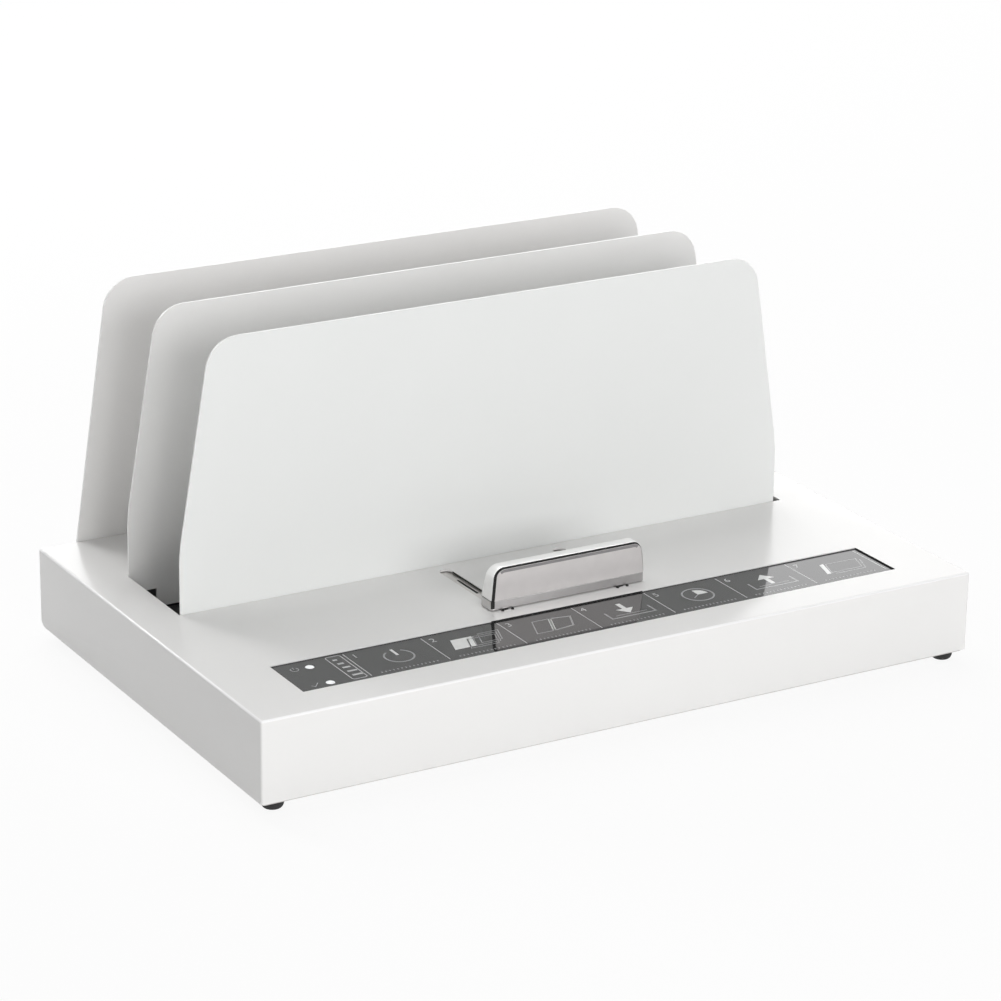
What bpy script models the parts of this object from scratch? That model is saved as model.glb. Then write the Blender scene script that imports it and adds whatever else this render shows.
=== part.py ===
"""Thermal binding machine for an office or a shop counter.

A low sheet-steel housing carries two bays between three upright dividers. Covers with glued spines stand in
the heated bay, on a heating plate in a well below the deck, and cool in the rear bay. A carriage under the
deck joins the handle to the front divider, so sliding the handle back clamps the covers.

Metres, +Z up, +X to the right, -Y towards the person who uses it. The origin lies on the table under the
middle of the machine.
"""
import math

import bmesh
import bpy
from mathutils import Vector

# Housing
HOUSING_WIDTH = 0.450
HOUSING_DEPTH = 0.283
COVER_HEIGHT = 0.0468
COVER_SHEET = 0.0012
EDGE_RADIUS = 0.0015
REAR_CORNER_RADIUS = 0.007
REAR_REACH = 0.003

# Seats, clearances and cuts
SEAT = 0.0003
CUT_OVERRUN = 0.002
ARC_STEPS = 4
FINE_ARC_STEPS = 6
ROUND_SEGMENTS = 20
ROUND_PROFILE = 0.5
SMOOTH_ANGLE = math.radians(40)

# Feet and base pan
FOOT_HEIGHT = 0.0067
FOOT_TOP_RADIUS = 0.0062
FOOT_FLAT_RADIUS = 0.0038
FOOT_DOME_HEIGHT = 0.0035
FOOT_INSET = 0.0125
FOOT_END_INSET = 0.0100
FOOT_SHIFT = 0.0025
PAN_SHEET = 0.001
PAN_DROP = 0.0013
PAN_FLANGE_HEIGHT = 0.008
PAN_VENT_WIDTH = 0.003
PAN_VENT_LENGTH = 0.022
PAN_VENT_PITCH = 0.018
PAN_VENT_COUNT = 12

# Dividers
DIVIDER_SHEET = 0.0012
DIVIDER_SIDE_MARGIN = 0.0295
DIVIDER_RISE = 0.1549
DIVIDER_SHOULDER = 0.035
DIVIDER_TOP_INSET = 0.020
DIVIDER_CORNER_RADIUS = 0.019
DIVIDER_BLEND_RADIUS = 0.120
DIVIDER_SHIFT = -0.0025
REAR_DIVIDER_DROP = 0.0015
TONGUE_INSET = 0.0168
TONGUE_SHOULDER_DEPTH = 0.0104
TONGUE_CORNER_RADIUS = 0.0015
TONGUE_PLATE_GAP = 0.0012
SKIRT_GAP = 0.001
SKIRT_CORNER_RADIUS = 0.004

# Bays
COOLING_BAY_SHARE = 0.9696
BAY_SIDE_GAP = 0.0005
BAY_END_GAP = 0.005
BAY_CORNER_RADIUS = 0.001
WELL_DEPTH = 0.0226

# Heater in the well
HEATER_END_MARGIN = 0.0035
HEATING_PLATE_THICKNESS = 0.004
HEATING_PLATE_EDGE = 0.0008
HEATER_SIDE_GAP = 0.0005
ELEMENT_THICKNESS = 0.0015
ELEMENT_INSET = 0.006
INSULATION_THICKNESS = 0.010
TROUGH_SHEET = 0.001
TROUGH_LIP_DROP = 0.0015
TROUGH_BACK_GAP = 0.001
TROUGH_BEND_RADIUS = 0.002
END_PLATE_SHEET = 0.0015
THERMOSTAT_RADIUS = 0.008
THERMOSTAT_HEIGHT = 0.007
THERMOSTAT_CAP_RADIUS = 0.0055
THERMOSTAT_CAP_HEIGHT = 0.002
THERMOSTAT_BAY = 0.030

# Carriage, guide rods and slots
CLAMP_GAP = 0.0097
CARRIAGE_SHEET = 0.0012
CARRIAGE_SIDE_MARGIN = 0.0255
CARRIAGE_DECK_GAP = 0.0004
CARRIAGE_FLANGE_DROP = 0.0155
CARRIAGE_BEND_RADIUS = 0.002
CARRIAGE_FRONT_MARGIN = 0.0015
SLIT_WIDTH = 0.0016
SLIT_LENGTH = 0.030
SLIT_SHIFT = -0.0014
SLIT_POST_GAP = 0.009
SLOT_WIDTH = 0.008
SLOT_SPACING = 0.0744
SLOT_REAR_GAP = 0.0102
SLOT_END_GAP = 0.0005
SLOT_FRONT_SPARE = 0.0028
ROD_RADIUS = 0.004
ROD_SIDE_MARGIN = 0.040
ROD_CLEARANCE = 0.0003
ROD_STICKOUT = 0.0015
ROD_END_GAP = 0.0015
ROD_CHAMFER = 0.0006
BUSH_LENGTH = 0.018
BUSH_WIDTH = 0.022
BUSH_HEIGHT = 0.014
BUSH_CHAMFER = 0.002
BUSH_STOP_GAP = 0.0005
BUSH_FRONT_GAP = 0.001
EAR_SHEET = 0.002
EAR_MARGIN = 0.0025
RAIL_BRACKET_WIDTH = 0.020

# Handle
POST_SIDE_GAP = 0.0004
POST_RADIUS = SLOT_WIDTH / 2 - POST_SIDE_GAP
HANDLE_END_MARGIN = 0.0124
HANDLE_SHIFT = 0.0037
HANDLE_DEPTH = 0.0116
HANDLE_BODY_HEIGHT = 0.0191
HANDLE_END_LEAN = 0.0019
HANDLE_FRONT_LEAN = 0.0005
HANDLE_REAR_LEAN = 0.004
HANDLE_CORNER_RADIUS = 0.0068
HANDLE_DECK_GAP = 0.0005
HANDLE_BASE_HEIGHT = 0.0052
HANDLE_BASE_CORNER = 0.0015
HANDLE_FRONT_TO_POST = 0.0018
HANDLE_RIM = 0.0009
FACE_THICKNESS = 0.0016
FACE_GAP = 0.0008
FACE_RECESS = 0.0004

# Control panel
PANEL_SIDE_MARGIN = 0.036
PANEL_FRONT_MARGIN = 0.0248
PANEL_DEPTH = 0.0388
PANEL_SHIFT = 0.00125
PANEL_CORNER_RADIUS = 0.0005
OVERLAY_THICKNESS = 0.0004
CARRIER_THICKNESS = 0.002
CARRIER_LIP = 0.0035
CARRIER_GAP = 0.0019
LED_RADIUS = 0.0025
LED_HOLE_GAP = 0.0003
LED_PROUD = 0.0003
LED_SIDE_INSET = 0.0191
LED_SPACING = 0.0236
LED_SHIFT = -0.0012
BOSS_LENGTH = 0.005
BOSS_RADIUS = 0.0022
BOSS_INSET = 0.004
INDICATOR_BOARD_WIDTH = 0.020
INDICATOR_BOARD_THICKNESS = 0.0012
INDICATOR_BOARD_MARGIN = 0.006

# Paper sensor
LEVER_WIDTH = 0.005
LEVER_THICKNESS = 0.001
LEVER_BARREL_RADIUS = 0.002
LEVER_PIVOT_BEHIND = 0.005
LEVER_LIFT = 0.007
LEVER_TIP_REACH = 0.0035
LEVER_NOSE_DROP = 0.0012
LEVER_TAIL = 0.006
LEVER_SWING = math.radians(12)
SENSOR_PIN_RADIUS = 0.001
SENSOR_PIN_STICKOUT = 0.0008
SENSOR_WINDOW_GAP = 0.001
SENSOR_BRACKET_SHEET = 0.001
SENSOR_BRACKET_MARGIN = 0.0015
SENSOR_SWITCH_LENGTH = 0.0098
SENSOR_SWITCH_HEIGHT = 0.0065

# Control board
BOARD_WIDTH = 0.120
BOARD_DEPTH = 0.044
BOARD_THICKNESS = 0.0016
BOARD_SHIFT = 0.060
BOARD_FRONT_GAP = 0.004
BOARD_CORNER_RADIUS = 0.002
SPACER_HEIGHT = 0.006
SPACER_RADIUS = 0.003
SPACER_INSET = 0.006
SPACER_SIDES = 6
TRANSFORMER_WIDTH = 0.032
TRANSFORMER_DEPTH = 0.026
TRANSFORMER_HEIGHT = 0.022
TRANSFORMER_BOBBIN_WIDTH = 0.018
TRANSFORMER_BOBBIN_REACH = 0.004
TRANSFORMER_INSET = 0.006
RELAY_WIDTH = 0.015
RELAY_DEPTH = 0.019
RELAY_HEIGHT = 0.015
BUZZER_RADIUS = 0.006
BUZZER_HEIGHT = 0.0085
BUZZER_PORT_RADIUS = 0.001
BUZZER_PORT_DEPTH = 0.002
TERMINAL_WIDTH = 0.022
TERMINAL_DEPTH = 0.009
TERMINAL_HEIGHT = 0.010
TERMINAL_STEP = 0.003
BOARD_PART_GAP = 0.008

# Mains inlet and power switch in the rear wall
INLET_SIDE_MARGIN = 0.075
INLET_FLANGE_WIDTH = 0.031
INLET_FLANGE_HEIGHT = 0.0245
INLET_BODY_WIDTH = 0.0272
INLET_BODY_HEIGHT = 0.0198
INLET_BODY_DEPTH = 0.0185
INLET_WALL = 0.0017
INLET_CHAMFER = 0.005
INLET_FLANGE_CORNER = 0.002
INLET_CAVITY_DEPTH = 0.0165
INLET_PIN_SETBACK = 0.003
INLET_PIN_WIDTH = 0.002
INLET_PIN_HEIGHT = 0.004
INLET_PIN_SPACING = 0.014
INLET_EARTH_LIFT = 0.004
INLET_CLEAR = 0.002
SWITCH_INLET_GAP = 0.0191
SWITCH_BEZEL = 0.0014
SWITCH_BODY_DEPTH = 0.014
SWITCH_BODY_WALL = 0.0012
SWITCH_FLANGE_CORNER = 0.001
ROCKER_WIDTH = 0.009
ROCKER_LENGTH = 0.017
ROCKER_CREST = 0.0030
ROCKER_DIP = 0.0010
ROCKER_UNDER = 0.0015
ROCKER_PIVOT_DEPTH = 0.0018
ROCKER_TILT = math.radians(7)
ROCKER_PIN_RADIUS = 0.0008
ROCKER_PIN_LENGTH = 0.0007
REAR_VENT_SHIFT = -0.105
REAR_VENT_WIDTH = 0.0025
REAR_VENT_HEIGHT = 0.018
REAR_VENT_PITCH = 0.007
REAR_VENT_COUNT = 12

# Heights, from the table up
PAN_BOTTOM = FOOT_HEIGHT + SEAT
PAN_TOP = PAN_BOTTOM + PAN_SHEET
COVER_BOTTOM = PAN_BOTTOM + PAN_DROP
DECK_TOP = COVER_BOTTOM + COVER_HEIGHT
DECK_UNDER = DECK_TOP - COVER_SHEET
CARRIAGE_TOP = DECK_UNDER - CARRIAGE_DECK_GAP
CARRIAGE_UNDER = CARRIAGE_TOP - CARRIAGE_SHEET
HEATING_PLATE_TOP = DECK_TOP - WELL_DEPTH
HEATING_PLATE_UNDER = HEATING_PLATE_TOP - HEATING_PLATE_THICKNESS
ELEMENT_UNDER = HEATING_PLATE_UNDER - SEAT - ELEMENT_THICKNESS
INSULATION_TOP = ELEMENT_UNDER - SEAT
INSULATION_UNDER = INSULATION_TOP - INSULATION_THICKNESS
TROUGH_FLOOR = INSULATION_UNDER - SEAT
TROUGH_UNDER = TROUGH_FLOOR - TROUGH_SHEET
TONGUE_BOTTOM = HEATING_PLATE_TOP + TONGUE_PLATE_GAP
DIVIDER_TOP = DECK_TOP + DIVIDER_RISE
INLET_HEIGHT = PAN_BOTTOM + PAN_FLANGE_HEIGHT + INLET_CLEAR + INLET_BODY_HEIGHT / 2

# Widths, from the housing's and the slots' spacing
DIVIDER_WIDTH = HOUSING_WIDTH - 2 * DIVIDER_SIDE_MARGIN
DIVIDER_LEFT = DIVIDER_SHIFT - DIVIDER_WIDTH / 2
DIVIDER_RIGHT = DIVIDER_SHIFT + DIVIDER_WIDTH / 2
HEATER_LENGTH = DIVIDER_WIDTH - 2 * HEATER_END_MARGIN
CARRIAGE_WIDTH = DIVIDER_WIDTH - 2 * CARRIAGE_SIDE_MARGIN
ROD_SPACING = CARRIAGE_WIDTH - 2 * ROD_SIDE_MARGIN
PANEL_WIDTH = HOUSING_WIDTH - 2 * PANEL_SIDE_MARGIN
HANDLE_WIDTH = SLOT_SPACING + 2 * HANDLE_END_MARGIN
INLET_SHIFT = HOUSING_WIDTH / 2 - INLET_SIDE_MARGIN
SWITCH_HALF_WIDTH = ROCKER_WIDTH / 2 + SEAT + SWITCH_BODY_WALL + SWITCH_BEZEL
SWITCH_SHIFT = INLET_SHIFT - INLET_FLANGE_WIDTH / 2 - SWITCH_INLET_GAP - SWITCH_HALF_WIDTH

# Depths of the bays and the carriage's travel, from what the panel and the carriage leave of the housing
RAIL_END_LENGTH = BUSH_STOP_GAP + EAR_SHEET + ROD_STICKOUT + ROD_END_GAP + CARRIAGE_SHEET
CARRIAGE_LENGTH = CARRIER_LIP + CARRIER_GAP + CARRIAGE_FRONT_MARGIN + BUSH_LENGTH + RAIL_END_LENGTH
BAY_ROOM = HOUSING_DEPTH - PANEL_FRONT_MARGIN - PANEL_DEPTH - CARRIAGE_LENGTH - 2 * DIVIDER_SHEET
HEATED_BAY_DEPTH = (BAY_ROOM + CLAMP_GAP) / (2 + COOLING_BAY_SHARE)
COOLING_BAY_DEPTH = COOLING_BAY_SHARE * HEATED_BAY_DEPTH
CARRIAGE_TRAVEL = HEATED_BAY_DEPTH - CLAMP_GAP

# Places from front to rear
HOUSING_FRONT = -(HOUSING_DEPTH + REAR_REACH) / 2
HOUSING_REAR = HOUSING_FRONT + HOUSING_DEPTH
REAR_DIVIDER_FRONT = HOUSING_REAR + SEAT
MIDDLE_DIVIDER_REAR = REAR_DIVIDER_FRONT - COOLING_BAY_DEPTH
MIDDLE_DIVIDER_FRONT = MIDDLE_DIVIDER_REAR - DIVIDER_SHEET
FRONT_DIVIDER_REAR = MIDDLE_DIVIDER_FRONT - HEATED_BAY_DEPTH
FRONT_DIVIDER_FRONT = FRONT_DIVIDER_REAR - DIVIDER_SHEET
BAY_FRONT = FRONT_DIVIDER_FRONT - SEAT
BAY_REAR = MIDDLE_DIVIDER_REAR + SEAT
FLANGE_FRONT = BAY_FRONT - CARRIAGE_SHEET
SLOT_REAR = BAY_FRONT - SLOT_REAR_GAP
POST_REAR = SLOT_REAR - SLOT_END_GAP - CARRIAGE_TRAVEL
POST_FRONT = POST_REAR - 2 * POST_RADIUS
POST_CENTRE = POST_REAR - POST_RADIUS
SLOT_FRONT = POST_FRONT - SLOT_FRONT_SPARE
ROD_REAR = FLANGE_FRONT - ROD_END_GAP
REAR_EAR_FRONT = ROD_REAR - ROD_STICKOUT - EAR_SHEET
BUSH_REAR = REAR_EAR_FRONT - BUSH_STOP_GAP - CARRIAGE_TRAVEL
BUSH_FRONT = BUSH_REAR - BUSH_LENGTH
FRONT_EAR_FRONT = BUSH_FRONT - BUSH_FRONT_GAP - EAR_SHEET
ROD_FRONT = FRONT_EAR_FRONT - ROD_STICKOUT
CARRIAGE_FRONT = BUSH_FRONT - CARRIAGE_FRONT_MARGIN
PANEL_REAR = CARRIAGE_FRONT - CARRIER_GAP - CARRIER_LIP
PANEL_FRONT = PANEL_REAR - PANEL_DEPTH
ROD_HEIGHT = CARRIAGE_UNDER - SEAT - BUSH_HEIGHT / 2
HANDLE_FRONT = POST_FRONT - HANDLE_FRONT_TO_POST
TROUGH_FRONT = BAY_FRONT
TROUGH_BACK = BAY_REAR + TROUGH_SHEET
LEVER_PIVOT_Y = TROUGH_BACK + LEVER_PIVOT_BEHIND
LEVER_PIVOT_Z = HEATING_PLATE_TOP + LEVER_LIFT

ORIGIN = Vector((0, 0, 0))


def material(name, color, roughness, metallic=0.0):
    """A Principled material in one plain colour."""
    made = bpy.data.materials.new(name)
    made.use_nodes = True
    shader = made.node_tree.nodes["Principled BSDF"]
    shader.inputs["Base Color"].default_value = (*color, 1.0)
    shader.inputs["Roughness"].default_value = roughness
    shader.inputs["Metallic"].default_value = metallic
    return made


def filleted(corners, steps=ARC_STEPS):
    """Outline through corners given as (u, v, radius); a corner with a radius becomes an arc."""
    points = []
    for index, (u, v, radius) in enumerate(corners):
        here = Vector((u, v))
        if radius <= 0:
            points.append(here)
            continue
        back = (Vector(corners[index - 1][:2]) - here).normalized()
        ahead = (Vector(corners[(index + 1) % len(corners)][:2]) - here).normalized()
        half = back.angle(ahead) / 2
        centre = here + (back + ahead).normalized() * (radius / math.sin(half))
        start = here + back * (radius / math.tan(half)) - centre
        end = here + ahead * (radius / math.tan(half)) - centre
        turn = math.atan2(start.cross(end), start.dot(end))
        for step in range(steps + 1):
            angle = math.atan2(start.y, start.x) + turn * step / steps
            points.append(centre + Vector((math.cos(angle), math.sin(angle))) * radius)
    return points


def rectangle(left, right, low, high, radius=0, steps=ARC_STEPS):
    """Rectangle with rounded corners."""
    corners = ((left, low), (right, low), (right, high), (left, high))
    return filleted([(u, v, radius) for u, v in corners], steps)


def circle(u, v, radius, segments=ROUND_SEGMENTS):
    """Circle of straight facets round (u, v)."""
    angles = [2 * math.pi * index / segments for index in range(segments)]
    return [Vector((u + radius * math.cos(angle), v + radius * math.sin(angle))) for angle in angles]


def obround(u, low, high, width, steps=FINE_ARC_STEPS):
    """Slot with round ends along v, centred on u."""
    radius = width / 2
    points = []
    for end, first in ((high - radius, 0), (low + radius, math.pi)):
        for step in range(steps + 1):
            angle = first + math.pi * step / steps
            points.append(Vector((u + radius * math.cos(angle), end + radius * math.sin(angle))))
    return points


def in_space(u, v, w, axis):
    """Point of an outline drawn square to an axis: (y, z) on X, (x, z) on Y and (x, y) on Z."""
    return {"X": Vector((w, u, v)), "Y": Vector((u, w, v)), "Z": Vector((u, v, w))}[axis]


def add_plate(bm, outline, low, high, axis, holes=()):
    """Add an outline with holes in it, filled and extruded from low to high along an axis."""
    edges = []
    for loop in (outline, *holes):
        ring = [bm.verts.new(in_space(u, v, low, axis)) for u, v in loop]
        edges += [bm.edges.new((ring[index - 1], vertex)) for index, vertex in enumerate(ring)]
    filled = bmesh.ops.triangle_fill(bm, use_beauty=True, edges=edges)
    faces = [item for item in filled["geom"] if isinstance(item, bmesh.types.BMFace)]
    extruded = bmesh.ops.extrude_face_region(bm, geom=faces)
    moved = [item for item in extruded["geom"] if isinstance(item, bmesh.types.BMVert)]
    bmesh.ops.translate(bm, vec=in_space(0, 0, high - low, axis), verts=moved)
    return moved


def add_turned(bm, profile, centre, axis, segments=ROUND_SEGMENTS):
    """Add a turned solid: profile points (radius, distance along the axis), from end to end."""
    centre = Vector(centre)
    direction = in_space(0, 0, 1, axis)
    side = in_space(1, 0, 0, axis)
    chain = [bm.verts.new(centre + side * radius + direction * along) for radius, along in profile]
    edges = [bm.edges.new(pair) for pair in zip(chain, chain[1:])]
    bmesh.ops.spin(bm, geom=chain + edges, cent=centre, axis=direction, angle=2 * math.pi,
                   steps=segments, use_merge=True)
    bmesh.ops.remove_doubles(bm, verts=bm.verts, dist=SEAT / 100)


def rod_profile(radius, low, high, chamfer=0):
    """Turned profile of a plain rod with chamfered ends."""
    if chamfer <= 0:
        return [(0, low), (radius, low), (radius, high), (0, high)]
    return [(0, low), (radius - chamfer, low), (radius, low + chamfer),
            (radius, high - chamfer), (radius - chamfer, high), (0, high)]


def make(name, bm, finish=None, origin=ORIGIN, parent=None, smooth=False):
    """Turn a bmesh into an object whose origin lies where it is wanted."""
    bmesh.ops.recalc_face_normals(bm, faces=bm.faces)
    bmesh.ops.translate(bm, vec=-Vector(origin), verts=bm.verts)
    mesh = bpy.data.meshes.new(name)
    bm.to_mesh(mesh)
    bm.free()
    if smooth:
        mesh.shade_smooth()
        mesh.set_sharp_from_angle(angle=SMOOTH_ANGLE)
    if finish:
        mesh.materials.append(finish)
    made = bpy.data.objects.new(name, mesh)
    made.location = Vector(origin) - (parent.location if parent else ORIGIN)
    made.parent = parent
    bpy.context.collection.objects.link(made)
    return made


def combine(target, name, bm, operation):
    """Join a helper shape to an object, or cut it out, with an exact Boolean."""
    helper = make(name, bm)
    helper.hide_render = True
    helper.display_type = "WIRE"
    modifier = target.modifiers.new(name, "BOOLEAN")
    modifier.object = helper
    modifier.operation = operation
    modifier.solver = "EXACT"


def plate(name, finish, outline, low, high, axis, holes=(), **where):
    """Make one flat extruded piece."""
    bm = bmesh.new()
    add_plate(bm, outline, low, high, axis, holes)
    return make(name, bm, finish, **where)


def block(name, finish, span_x, span_y, span_z, radius=0, **where):
    """Make a block between two values on each axis, with its upright edges rounded."""
    return plate(name, finish, rectangle(*span_x, *span_y, radius), *span_z, "Z", **where)


def turned(name, finish, profile, centre, axis, **where):
    """Make one turned piece."""
    bm = bmesh.new()
    add_turned(bm, profile, centre, axis)
    return make(name, bm, finish, smooth=True, **where)


def pivot(name, place):
    """Empty on a joint's axis, which carries the pieces that move."""
    empty = bpy.data.objects.new(name, None)
    empty.location = place
    bpy.context.collection.objects.link(empty)
    return empty


def switch_body_span():
    """Half width and half height of the window that the rocker swings in."""
    half_width = ROCKER_WIDTH / 2 + SEAT
    half_height = math.hypot(ROCKER_LENGTH / 2, max(ROCKER_CREST, ROCKER_UNDER)) + SEAT
    return half_width, half_height


def switch_flange_half_height():
    """Half height of the power switch's bezel."""
    return switch_body_span()[1] + SWITCH_BODY_WALL + SWITCH_BEZEL


def skirt_bottom():
    """Lower edge of the rear divider, just above the inlet and the power switch."""
    return INLET_HEIGHT + max(INLET_FLANGE_HEIGHT / 2, switch_flange_half_height()) + SKIRT_GAP


def build_cover(white):
    """Folded cover with the bay, the two handle slots, the panel window and the rear cut-outs."""
    left, right = -HOUSING_WIDTH / 2, HOUSING_WIDTH / 2
    bm = bmesh.new()
    add_plate(bm, rectangle(left, right, HOUSING_FRONT, HOUSING_REAR), COVER_BOTTOM, DECK_TOP, "Z")
    sharp = [edge for edge in bm.edges if edge.calc_face_angle(0) > SMOOTH_ANGLE]
    folds = [edge for edge in sharp if max(vertex.co.z for vertex in edge.verts) > DECK_UNDER]
    bmesh.ops.bevel(bm, geom=folds, offset=EDGE_RADIUS, segments=ARC_STEPS // 2, profile=ROUND_PROFILE,
                    affect="EDGES")
    cover = make("housing_cover", bm, white)

    inside = bmesh.new()
    add_plate(inside, rectangle(left + COVER_SHEET, right - COVER_SHEET,
                                HOUSING_FRONT + COVER_SHEET, HOUSING_REAR - COVER_SHEET),
              COVER_BOTTOM - CUT_OVERRUN, DECK_UNDER, "Z")
    combine(cover, "cover_inside", inside, "DIFFERENCE")

    deck_cuts = bmesh.new()
    through_deck = (DECK_UNDER - CUT_OVERRUN / 2, DECK_TOP + CUT_OVERRUN, "Z")
    bay = rectangle(DIVIDER_LEFT - BAY_SIDE_GAP, DIVIDER_RIGHT + BAY_END_GAP, BAY_FRONT, BAY_REAR,
                    BAY_CORNER_RADIUS)
    add_plate(deck_cuts, bay, *through_deck)
    for side in (-1, 1):
        slot = obround(side * SLOT_SPACING / 2, SLOT_FRONT, SLOT_REAR, SLOT_WIDTH)
        add_plate(deck_cuts, slot, *through_deck)
    window = rectangle(PANEL_SHIFT - PANEL_WIDTH / 2 - SEAT, PANEL_SHIFT + PANEL_WIDTH / 2 + SEAT,
                       PANEL_FRONT - SEAT, PANEL_REAR + SEAT, PANEL_CORNER_RADIUS)
    add_plate(deck_cuts, window, *through_deck)
    combine(cover, "deck_cuts", deck_cuts, "DIFFERENCE")

    rear_cuts = bmesh.new()
    through_rear = (HOUSING_REAR - COVER_SHEET - CUT_OVERRUN / 2, HOUSING_REAR + CUT_OVERRUN, "Y")
    half_width, half_height = INLET_BODY_WIDTH / 2 + SEAT, INLET_BODY_HEIGHT / 2 + SEAT
    add_plate(rear_cuts, rectangle(INLET_SHIFT - half_width, INLET_SHIFT + half_width,
                                   INLET_HEIGHT - half_height, INLET_HEIGHT + half_height), *through_rear)
    half_width, half_height = switch_body_span()
    grow = SWITCH_BODY_WALL + SEAT
    add_plate(rear_cuts, rectangle(SWITCH_SHIFT - half_width - grow, SWITCH_SHIFT + half_width + grow,
                                   INLET_HEIGHT - half_height - grow, INLET_HEIGHT + half_height + grow),
              *through_rear)
    for index in range(REAR_VENT_COUNT):
        place = REAR_VENT_SHIFT + (index - (REAR_VENT_COUNT - 1) / 2) * REAR_VENT_PITCH
        low = INLET_HEIGHT - REAR_VENT_HEIGHT / 2
        vent = obround(place, low, low + REAR_VENT_HEIGHT, REAR_VENT_WIDTH, ARC_STEPS)
        add_plate(rear_cuts, vent, *through_rear)
    combine(cover, "rear_cuts", rear_cuts, "DIFFERENCE")

    corner_cuts = bmesh.new()
    low, high = COVER_BOTTOM - CUT_OVERRUN, COVER_BOTTOM + REAR_CORNER_RADIUS
    rear, near = HOUSING_REAR + CUT_OVERRUN, HOUSING_REAR - REAR_CORNER_RADIUS
    angles = [math.pi / 2 * step / FINE_ARC_STEPS for step in range(FINE_ARC_STEPS + 1)]
    radius = REAR_CORNER_RADIUS
    arc = [Vector((near + radius * math.sin(angle), high - radius * math.cos(angle))) for angle in angles]
    outline = arc + [Vector((rear, high)), Vector((rear, low)), Vector((near, low))]
    reach = COVER_SHEET + CUT_OVERRUN
    for side in (-1, 1):
        span = sorted((side * (right + CUT_OVERRUN), side * (right - reach)))
        add_plate(corner_cuts, outline, *span, "X")
    combine(cover, "corner_cuts", corner_cuts, "DIFFERENCE")


def build_pan(zinc):
    """Base tray inside the cover, with two rows of air slots under the heater."""
    gap = COVER_SHEET + SEAT
    left, right = -HOUSING_WIDTH / 2 + gap, HOUSING_WIDTH / 2 - gap
    front, rear = HOUSING_FRONT + gap, HOUSING_REAR - gap
    top = PAN_BOTTOM + PAN_FLANGE_HEIGHT
    pan = block("base_pan", zinc, (left, right), (front, rear), (PAN_BOTTOM, top), EDGE_RADIUS)
    inside = bmesh.new()
    add_plate(inside, rectangle(left + PAN_SHEET, right - PAN_SHEET, front + PAN_SHEET, rear - PAN_SHEET),
              PAN_TOP, top + CUT_OVERRUN, "Z")
    combine(pan, "pan_inside", inside, "DIFFERENCE")
    vents = bmesh.new()
    middle = (TROUGH_FRONT + TROUGH_BACK) / 2
    for index in range(PAN_VENT_COUNT):
        place = DIVIDER_SHIFT + (index - (PAN_VENT_COUNT - 1) / 2) * PAN_VENT_PITCH
        for low in (middle - PAN_VENT_LENGTH - PAN_VENT_WIDTH, middle + PAN_VENT_WIDTH):
            add_plate(vents, obround(place, low, low + PAN_VENT_LENGTH, PAN_VENT_WIDTH, ARC_STEPS),
                      PAN_BOTTOM - CUT_OVERRUN, PAN_TOP + CUT_OVERRUN / 2, "Z")
    combine(pan, "pan_vents", vents, "DIFFERENCE")


def build_feet(rubber):
    """Four domed rubber feet under the pan's corners."""
    dome = [(FOOT_FLAT_RADIUS + (FOOT_TOP_RADIUS - FOOT_FLAT_RADIUS) * math.sin(angle),
             FOOT_DOME_HEIGHT * (1 - math.cos(angle)))
            for angle in (math.pi / 2 * step / ARC_STEPS for step in range(ARC_STEPS + 1))]
    profile = [(0, 0), *dome, (FOOT_TOP_RADIUS, FOOT_HEIGHT), (0, FOOT_HEIGHT)]
    for row, y in (("front", HOUSING_FRONT + FOOT_INSET), ("rear", HOUSING_REAR - FOOT_INSET)):
        for column, side in (("left", -1), ("right", 1)):
            place = (FOOT_SHIFT + side * (HOUSING_WIDTH / 2 - FOOT_END_INSET), y, 0)
            turned(f"foot_{row}_{column}", rubber, profile, place, "Z", origin=place)


def divider_top(top):
    """Two upper corners of a divider whose top edge lies at a height, right one first."""
    lean = DIVIDER_TOP_INSET / (DIVIDER_RISE - DIVIDER_SHOULDER)
    half = DIVIDER_WIDTH / 2 - DIVIDER_TOP_INSET + lean * (DIVIDER_TOP - top)
    return [(DIVIDER_SHIFT + side * half, top, DIVIDER_CORNER_RADIUS) for side in (1, -1)]


def build_bay_divider(name, white, front, windows=(), **where):
    """Divider that stands in the bay: a shouldered sheet with a narrower tongue in the well."""
    shoulder = DECK_TOP + DIVIDER_SHOULDER
    step = DECK_TOP - TONGUE_SHOULDER_DEPTH
    left, right = DIVIDER_LEFT + TONGUE_INSET, DIVIDER_RIGHT - TONGUE_INSET
    corners = [(right, TONGUE_BOTTOM, TONGUE_CORNER_RADIUS), (right, step, 0),
               (DIVIDER_RIGHT, step, TONGUE_CORNER_RADIUS), (DIVIDER_RIGHT, shoulder, DIVIDER_BLEND_RADIUS),
               *divider_top(DIVIDER_TOP), (DIVIDER_LEFT, shoulder, DIVIDER_BLEND_RADIUS),
               (DIVIDER_LEFT, step, TONGUE_CORNER_RADIUS), (left, step, 0),
               (left, TONGUE_BOTTOM, TONGUE_CORNER_RADIUS)]
    outline = filleted(corners, FINE_ARC_STEPS)
    plate(name, white, outline, front, front + DIVIDER_SHEET, "Y", windows, **where)


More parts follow.
